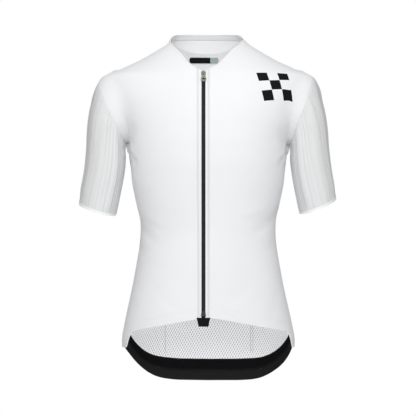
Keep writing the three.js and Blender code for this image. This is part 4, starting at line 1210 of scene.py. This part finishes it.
def pocket_grids():
    """The pocket cloth and its elastic mouth, on the back's own points."""
    rows = slice(BAND_ROW, BAND_ROW + POCKET_STEPS * BODY_SPLIT + 1)
    columns = slice(0, round(COLUMNS * POCKET_SPAN) + 1)
    panels, bindings = [], []
    for side in (RIGHT, LEFT):
        half = BACKS[side["name"]]
        whole = Grid(half.p, half.n).part(rows, columns)
        if side["sign"] < 0:
            whole = whole.mirrored_across()
        centre = whole.p[:, 0, 2]
        at = np.interp(centre[-1] - POCKET_BINDING_TALL, centre, np.arange(len(centre)))
        below, share = int(at), at - int(at)
        fields = whole.fields()
        seam = [lerp(f[below], f[below + 1], share)[None] for f in fields]
        cloth_part = Grid(*(np.concatenate([f[: below + 1], s]) for f, s in zip(fields, seam)))
        mouth_part = Grid(*(np.concatenate([s, f[below + 1 :]]) for f, s in zip(fields, seam)))
        base, top = whole.up[:1], whole.up[-1:]
        for part, group, wall, edges in (
            (cloth_part, panels, POCKET_WALL, {"first": True, "last": True}),
            (mouth_part, bindings, BINDING_WALL, {"first": True}),
        ):
            swell = pocket_swell(part, np.clip((part.up - base) / (top - base), 0, 1))
            group.append(part.out(LAY_GAP + wall + swell).trimmed(**edges))
    return panels, bindings


POCKETS, POCKET_MOUTHS = pocket_grids()


def make_pockets():
    cloth_piece("pocket_panel", POCKETS, POCKET_WALL, "pocket")
    cloth_piece("pocket_binding", POCKET_MOUTHS, BINDING_WALL, "elastic")


def sleeve_strip(side, shares, turns):
    """The sleeve between two shares of its length, closed round the arm."""
    p, n = ring_point(side, shares, turns)
    return Grid(p, n, turns * RIB_PITCH * RIBS / 360 + 0 * shares, -shares * sleeve_length(side) + 0 * turns)


def cuff_share(side):
    return 1 - CUFF_TALL / sleeve_length(side)


def sleeve_grid(side):
    """Ribbed sleeve from the armhole to the cuff."""
    shares = np.linspace(0, cuff_share(side), SLEEVE_RINGS + 1)[:, None]
    turns = np.linspace(0, 360, RIBS * RIB_SAMPLES + 1)[None]
    grid = sleeve_strip(side, shares, turns)
    p, n = grid.p, grid.n
    down = -np.cos(np.radians(turns))
    under = smooth_step(down, 0.0, 0.5)[..., None]
    for r in range(1, RINGS_TO_ARMPIT):
        step = r / RINGS_TO_ARMPIT
        p[r] = lerp(p[r], lerp(p[0], p[RINGS_TO_ARMPIT], step), under[0])
        n[r] = unit(lerp(n[r], lerp(n[0], n[RINGS_TO_ARMPIT], step), under[0]))
    random = np.random.default_rng(SEED + side["sign"])
    strength = random.uniform(*RIB_STRENGTH, (RIB_STOPS, RIBS))
    rib = np.minimum((turns[0] * RIBS / 360).astype(int), RIBS - 1)
    along = shares[:, 0] / shares[-1, 0]
    uneven = [np.interp(along, np.linspace(0, 1, RIB_STOPS), strength[:, i]) for i in rib]
    fade = np.clip(np.minimum(along, 1 - along) / RIB_FADE, 0, 1)[:, None]
    ribs = RIB_RAISE * fade * np.stack(uneven, axis=1) * (0.5 - 0.5 * np.cos(np.radians(turns * RIBS)))
    broad = 0
    for waves, height in SLEEVE_WAVES:
        drift = random.uniform(-0.9, 0.9) * along[:, None] + random.uniform(0, 6.28)
        broad = broad + height * np.sin(waves * np.radians(turns) + drift)
    tucked = -TUCK * smooth_step(along, 0, TUCK_START) * (1 - along) ** TUCK_EASE
    broad = lerp(broad * fade, tucked[:, None], smooth_step(down, 0.35, 0.95))
    grid = grid.trimmed(first=True, last=True)
    return grid.out(ribs + broad + seam_relief(grid, "first") + underarm_relief(grid, side))


SLEEVES = {side["name"]: sleeve_grid(side) for side in (RIGHT, LEFT)}


def make_sleeves():
    for side in (RIGHT, LEFT):
        name = side["name"]
        cloth_piece(f"sleeve_{name}", [SLEEVES[name]], PANEL_WALL, "rib")
        shares = np.linspace(cuff_share(side), 1, CUFF_ROWS)[:, None]
        cuff = sleeve_strip(side, shares, np.linspace(0, 360, CUFF_COLUMNS)[None]).trimmed(first=True)
        cloth_piece(f"cuff_{name}", [cuff], CUFF_WALL, "cuff")


# The collar
def collar_columns(side):
    """Half the collar from the back centre to its tip: seam, rise, lean and the ways it faces."""
    back = np.linspace(0, 1, BACK_NECK_COLUMNS)
    ahead = np.linspace(1, COLLAR_TIP, FRONT_NECK_COLUMNS)
    top = HALVES[side["name"]]["front"].top[0]
    ridge = shoulder_point(side, top, np.ones(1))[0]
    behind, before = neckline_point(side, back, False)[0], neckline_point(side, ahead, True)[0]
    seam = np.concatenate([behind, ridge, before])
    along = np.concatenate([[0], np.cumsum(np.linalg.norm(np.diff(seam, axis=0), axis=1))])
    w = along / along[-1]
    rise = np.maximum(COLLAR["top_z"](w) - seam[:, 2], COLLAR["least"](w))[:, None]
    lean = COLLAR["inward"](w)[:, None]
    inward = unit(stack(COLLAR_AXIS_X - seam[:, 0], COLLAR_AXIS_Y - seam[:, 1], 0))
    upward = np.array([0.0, 0, 1])
    up, out = unit(inward * lean + upward * rise), unit(upward * lean - inward * rise)
    return dict(w=w, seam=seam, rise=rise, lean=lean, inward=inward, up=up, out=out, along=along)


def collar_grid(halves, high):
    """high is 0 at the seam and 1 at the top edge, for each row and column."""
    grids = []
    for sign, c in halves:
        h = high(c)[..., None]
        bow = COLLAR_BOW * np.sin(math.pi * h) * (c["rise"] / (COLLAR["top_z"](0) - NECK_BACK_Z))
        p = c["seam"] + c["up"] * SEAM_GAP * (1 - h) + c["inward"] * c["lean"] * h
        p[..., 2] += c["rise"][:, 0] * h[..., 0]
        p = p + c["out"] * bow
        across = sign * c["along"] + 0 * h[..., 0]
        grids.append(Grid(p, np.broadcast_to(c["out"], p.shape), across, (c["rise"] * h)[..., 0]))
    return grids


def make_collar():
    halves = [(side["sign"], collar_columns(side)) for side in (RIGHT, LEFT)]
    rows = np.linspace(0, 1, COLLAR_ROWS_UP)[:, None]
    binding_rows = np.linspace(0, 1, BINDING_ROWS_UP)[:, None]
    outside = collar_grid(halves, lambda c: rows + 0 * c["w"])
    cloth_piece("collar", outside, COLLAR_WALL, "collar")
    near = []
    for sign, c in halves:
        kept = c["w"] <= BINDING_SPAN
        near.append((sign, {key: value[kept] for key, value in c.items()}))
    tall = lambda c: np.minimum(BINDING_TALL / c["rise"][:, 0], BINDING_SHARE)
    grids = collar_grid(near, lambda c: 1 - tall(c) * (1 - binding_rows))
    inside = [g.out(-(COLLAR_WALL + LAY_GAP)) for g in grids]
    cloth_piece("collar_binding", inside, BINDING_WALL, "binding")


# The zip
def zip_grid(z, low, high, inside, columns, relief=False):
    """A strip along the zip, between two offsets from its middle at each height."""
    share = np.linspace(0, 1, columns)[None]
    offset = lerp(np.asarray(low, float)[:, None], np.asarray(high, float)[:, None], share)
    p, n = cloth(face_point(ZIP_X + offset, z[:, None] + 0 * offset, -1))
    grid = Grid(p, n, offset, z[:, None] + 0 * offset)
    return grid.out(placket_relief(grid) - inside if relief else -inside + 0 * offset)


def make_zip():
    z = np.arange(ZIP_FOOT_Z, ZIP_TOP_Z + 0.1, ZIP_STEP)
    same = np.ones(len(z))
    for side in (RIGHT, LEFT):
        low, high = same * side["sign"] * SEAM_GAP / 2, same * side["sign"] * TAPE_WIDE
        grid = zip_grid(z, low, high, PANEL_WALL + TAPE_BEHIND, TAPE_COLUMNS, relief=True)
        cloth_piece(f"zip_tape_{side['name']}", [grid], TAPE_WALL, "tape")
    half = same * CHAIN_WIDE / 2
    grid = zip_grid(z, -half, half, CHAIN_SINK + COIL["rise"], CHAIN_COLUMNS)
    base = sheet("zip_coil_base", [grid], CHAIN_WALL - COIL["rise"])
    dress(base, "coil", "zip_chain")
    make_coil()
    tab = tab_grid(HEM_TAB, TAB_ROWS, PANEL_WALL + TAPE_BEHIND)
    fold = tab_grid(TAB_FOLD, TAB_FOLD_ROWS, -TAB_FOLD_OUT)
    cloth_piece("zip_hem_tab", [tab], HEM_TAB["wall"], "tab")
    cloth_piece("zip_hem_tab", [fold], TAB_FOLD["wall"], "tab", fold="_fold")


def make_coil():
    """Two rows of nylon turns that mesh along the middle of the zip."""
    shape, faces = bead(COIL["wide"], COIL["long"], COIL["tall"], sides=8)
    across = (shape[:, [1, 0, 2]] * [-1, 1, 1], faces)
    places = []
    for sign in (-1, 1):
        z = np.arange(ZIP_FOOT_Z + 4, SLIDER_FOOT_Z, COIL["pitch"]) + (sign + 1) * COIL["pitch"] / 4
        x = np.full(len(z), ZIP_X + sign * COIL["offset"])
        p, n = cloth(face_point(x, z, -1))
        places.append((p - n * COIL["sink"], unit(np.gradient(p, axis=0)), n))
    dress(copies("zip_coil_turns", across, places), "coil", "zip_chain")


def tab_grid(tab, rows, inside):
    """Black woven tab that closes the zip's foot, a little wider at its top."""
    z = np.linspace(tab["bottom"], tab["top"], rows)
    half = lerp(tab["bottom_half"], tab["top_half"], (z - z[0]) / (z[-1] - z[0]))
    return zip_grid(z, -half, half, inside, TAB_COLUMNS)


def make_label():
    """The label's rounded plate on the inside of the back."""
    tall, corner = (LABEL["top"] - LABEL["bottom"]) / 2, LABEL["corner"]
    bend = np.radians(np.linspace(2, 88, LABEL_CORNER_COLUMNS))
    near = corner * (1 - np.cos(bend))
    half_ends = tall - corner * (1 - np.sin(bend))
    flat = np.linspace(LABEL["left"] + corner, LABEL["right"] - corner, LABEL_FLAT_COLUMNS)
    x = np.concatenate([LABEL["left"] + near, flat, (LABEL["right"] - near)[::-1]])
    half = np.concatenate([half_ends, np.full(len(flat), tall), half_ends[::-1]])
    z = (LABEL["top"] + LABEL["bottom"]) / 2 + np.linspace(-1, 1, LABEL_ROWS)[:, None] * half[None]
    x = x[None] + 0 * z
    grid = Grid(*cloth(face_point(x, z, 1)), x, z).out(-(PANEL_WALL + LAY_GAP) + 0 * z)
    cloth_piece("neck_label", [grid], LABEL_WALL, "label")


def finish_metal():
    """Hard zip parts keep their solids, with their edges softened."""
    for name, finish, width in SOFT_EDGES:
        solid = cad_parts[name]
        solid.data.materials.clear()
        solid.data.materials.append(FINISHES[finish])
        bevel = solid.modifiers.new("soft_edges", "BEVEL")
        bevel.width, bevel.segments, bevel.angle_limit = width * MM, 3, math.radians(30)
        solid.data.shade_smooth()


# Sewing
def stitches(name, lines, thick=1.0):
    template = bead(THREAD["long"] * thick, THREAD["wide"] * thick, THREAD["tall"])
    places = []
    for line, facing in lines:
        at, way, out = even_places(line, facing, THREAD["pitch"])
        places.append((at + out * THREAD["lift"], way, out))
    made = copies(f"sewing_{name}", template, places)
    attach(made, "garment")
    made.data.materials.append(FINISHES[f"{name}_thread"])


def on_both_faces(seam):
    """A line of sewing and the same line on the other side of the cloth."""
    line, facing = seam
    return [seam, (line - facing * PANEL_WALL, -facing)]


def make_sewing():
    white, black, grey = [], [], []
    for name, grid in FRONTS.items():
        shoulder = HALVES[name]["front"].shoulder_from
        white.append(edge_line(grid.part(rows=slice(0, shoulder)), "start", SEWN_AT["placket"]))
        white += [edge_line(grid, "first", distance) for distance in SEWN_AT["hem"]]
        white.append(edge_line(grid.part(rows=slice(shoulder, None)), "start", SEWN_AT["neck"]))
        white.append(edge_line(grid.part(rows=slice(HEM_SPLIT, None)), "end", SEWN_AT["side"]))
        white.append(edge_line(SLEEVES[name], "first", SEWN_AT["side"]))
    for grid in back_grids(BAND_ROW, None, first=True):
        white.append(edge_line(grid, "end", SEWN_AT["side"]))
        white += on_both_faces(edge_line(grid, "first", SEWN_AT["tail"]))
    for grid in back_grids(GRIPPER_ROW, BAND_ROW + 1, first=True, last=True):
        for edge in ("first", "last"):
            black += on_both_faces(edge_line(grid, edge, SEWN_AT["band"]))
    for grid in POCKET_MOUTHS:
        white.append(edge_line(grid, "first", SEWN_AT["mouth"]))
    top = POCKETS[0].p[-1, 0, 2] + POCKET_BINDING_TALL
    z = np.arange(TAIL_Z + DIVIDER_ABOVE_TAIL, top, DIVIDER_STEP)
    for x in DIVIDERS:
        line, facing = cloth(face_point(np.full(len(z), float(x)), z, 1))
        grey.append((line - facing * PANEL_WALL, -facing))
        grey.append((line + facing * (LAY_GAP + POCKET_WALL + DIVIDER_LIFT), facing))
    stitches("white", white)
    stitches("black", black)
    # The dividers' grey thread also carries painted shade of their stitched groove.
    stitches("grey", grey, DIVIDER_THICK)


# Studio
def make_studio():
    scene = bpy.context.scene
    camera = bpy.data.objects.new("camera", bpy.data.cameras.new("camera"))
    camera.location = (0, -CAMERA_AWAY, CAMERA_Z)
    camera.rotation_euler = (math.pi / 2, 0, 0)
    camera.data.lens = camera.data.sensor_width * CAMERA_AWAY / FRAME_WIDE
    scene.collection.objects.link(camera)
    scene.camera = camera
    scene.view_settings.view_transform = "Standard"

    world = bpy.data.worlds.new("studio")
    world.use_nodes = True
    scene.world = world
    tree = world.node_tree
    light = tree.nodes["Background"]
    paper = tree.nodes.new("ShaderNodeBackground")
    set_inputs(tree, light, {"Color": (1, 1, 1, 1), "Strength": SKY_STRENGTH})
    set_inputs(tree, paper, {"Color": (1, 1, 1, 1)})
    path = tree.nodes.new("ShaderNodeLightPath")
    mixed = tree.nodes.new("ShaderNodeMixShader")
    inputs = {0: path.outputs["Is Camera Ray"], 1: light.outputs[0], 2: paper.outputs[0]}
    set_inputs(tree, mixed, inputs)
    set_inputs(tree, tree.nodes["World Output"], {0: mixed.outputs[0]})

    for name, place, size, power, target in LIGHTS:
        lamp = bpy.data.lights.new(name, "AREA")
        lamp.shape, lamp.size, lamp.size_y, lamp.energy = "RECTANGLE", size[0], size[1], power
        holder = bpy.data.objects.new(name, lamp)
        holder.location = place
        way = np.array(target) - np.array(place)
        holder.rotation_euler = Vector(way).to_track_quat("-Z", "Y").to_euler()
        holder.visible_camera = False
        scene.collection.objects.link(holder)

    turns = 2 * math.pi * np.arange(FLOOR_STEPS) / FLOOR_STEPS
    ring = stack(FLOOR_RADIUS * np.cos(turns), FLOOR_RADIUS * np.sin(turns), FLOOR_Z) / MM
    floor = mesh_object("floor", ring, [list(range(FLOOR_STEPS))])
    shade = Shade("floor_paper", (0.72, 0.72, 0.72), 0.9)
    shade.paint(shade.cloudy(60.0), (0.71, 0.71, 0.71), (0.73, 0.73, 0.73))
    floor.data.materials.append(shade.material)


make_studio()
make_fronts()
make_back()
make_pockets()
make_sleeves()
make_collar()
make_zip()
make_label()
finish_metal()
make_sewing()
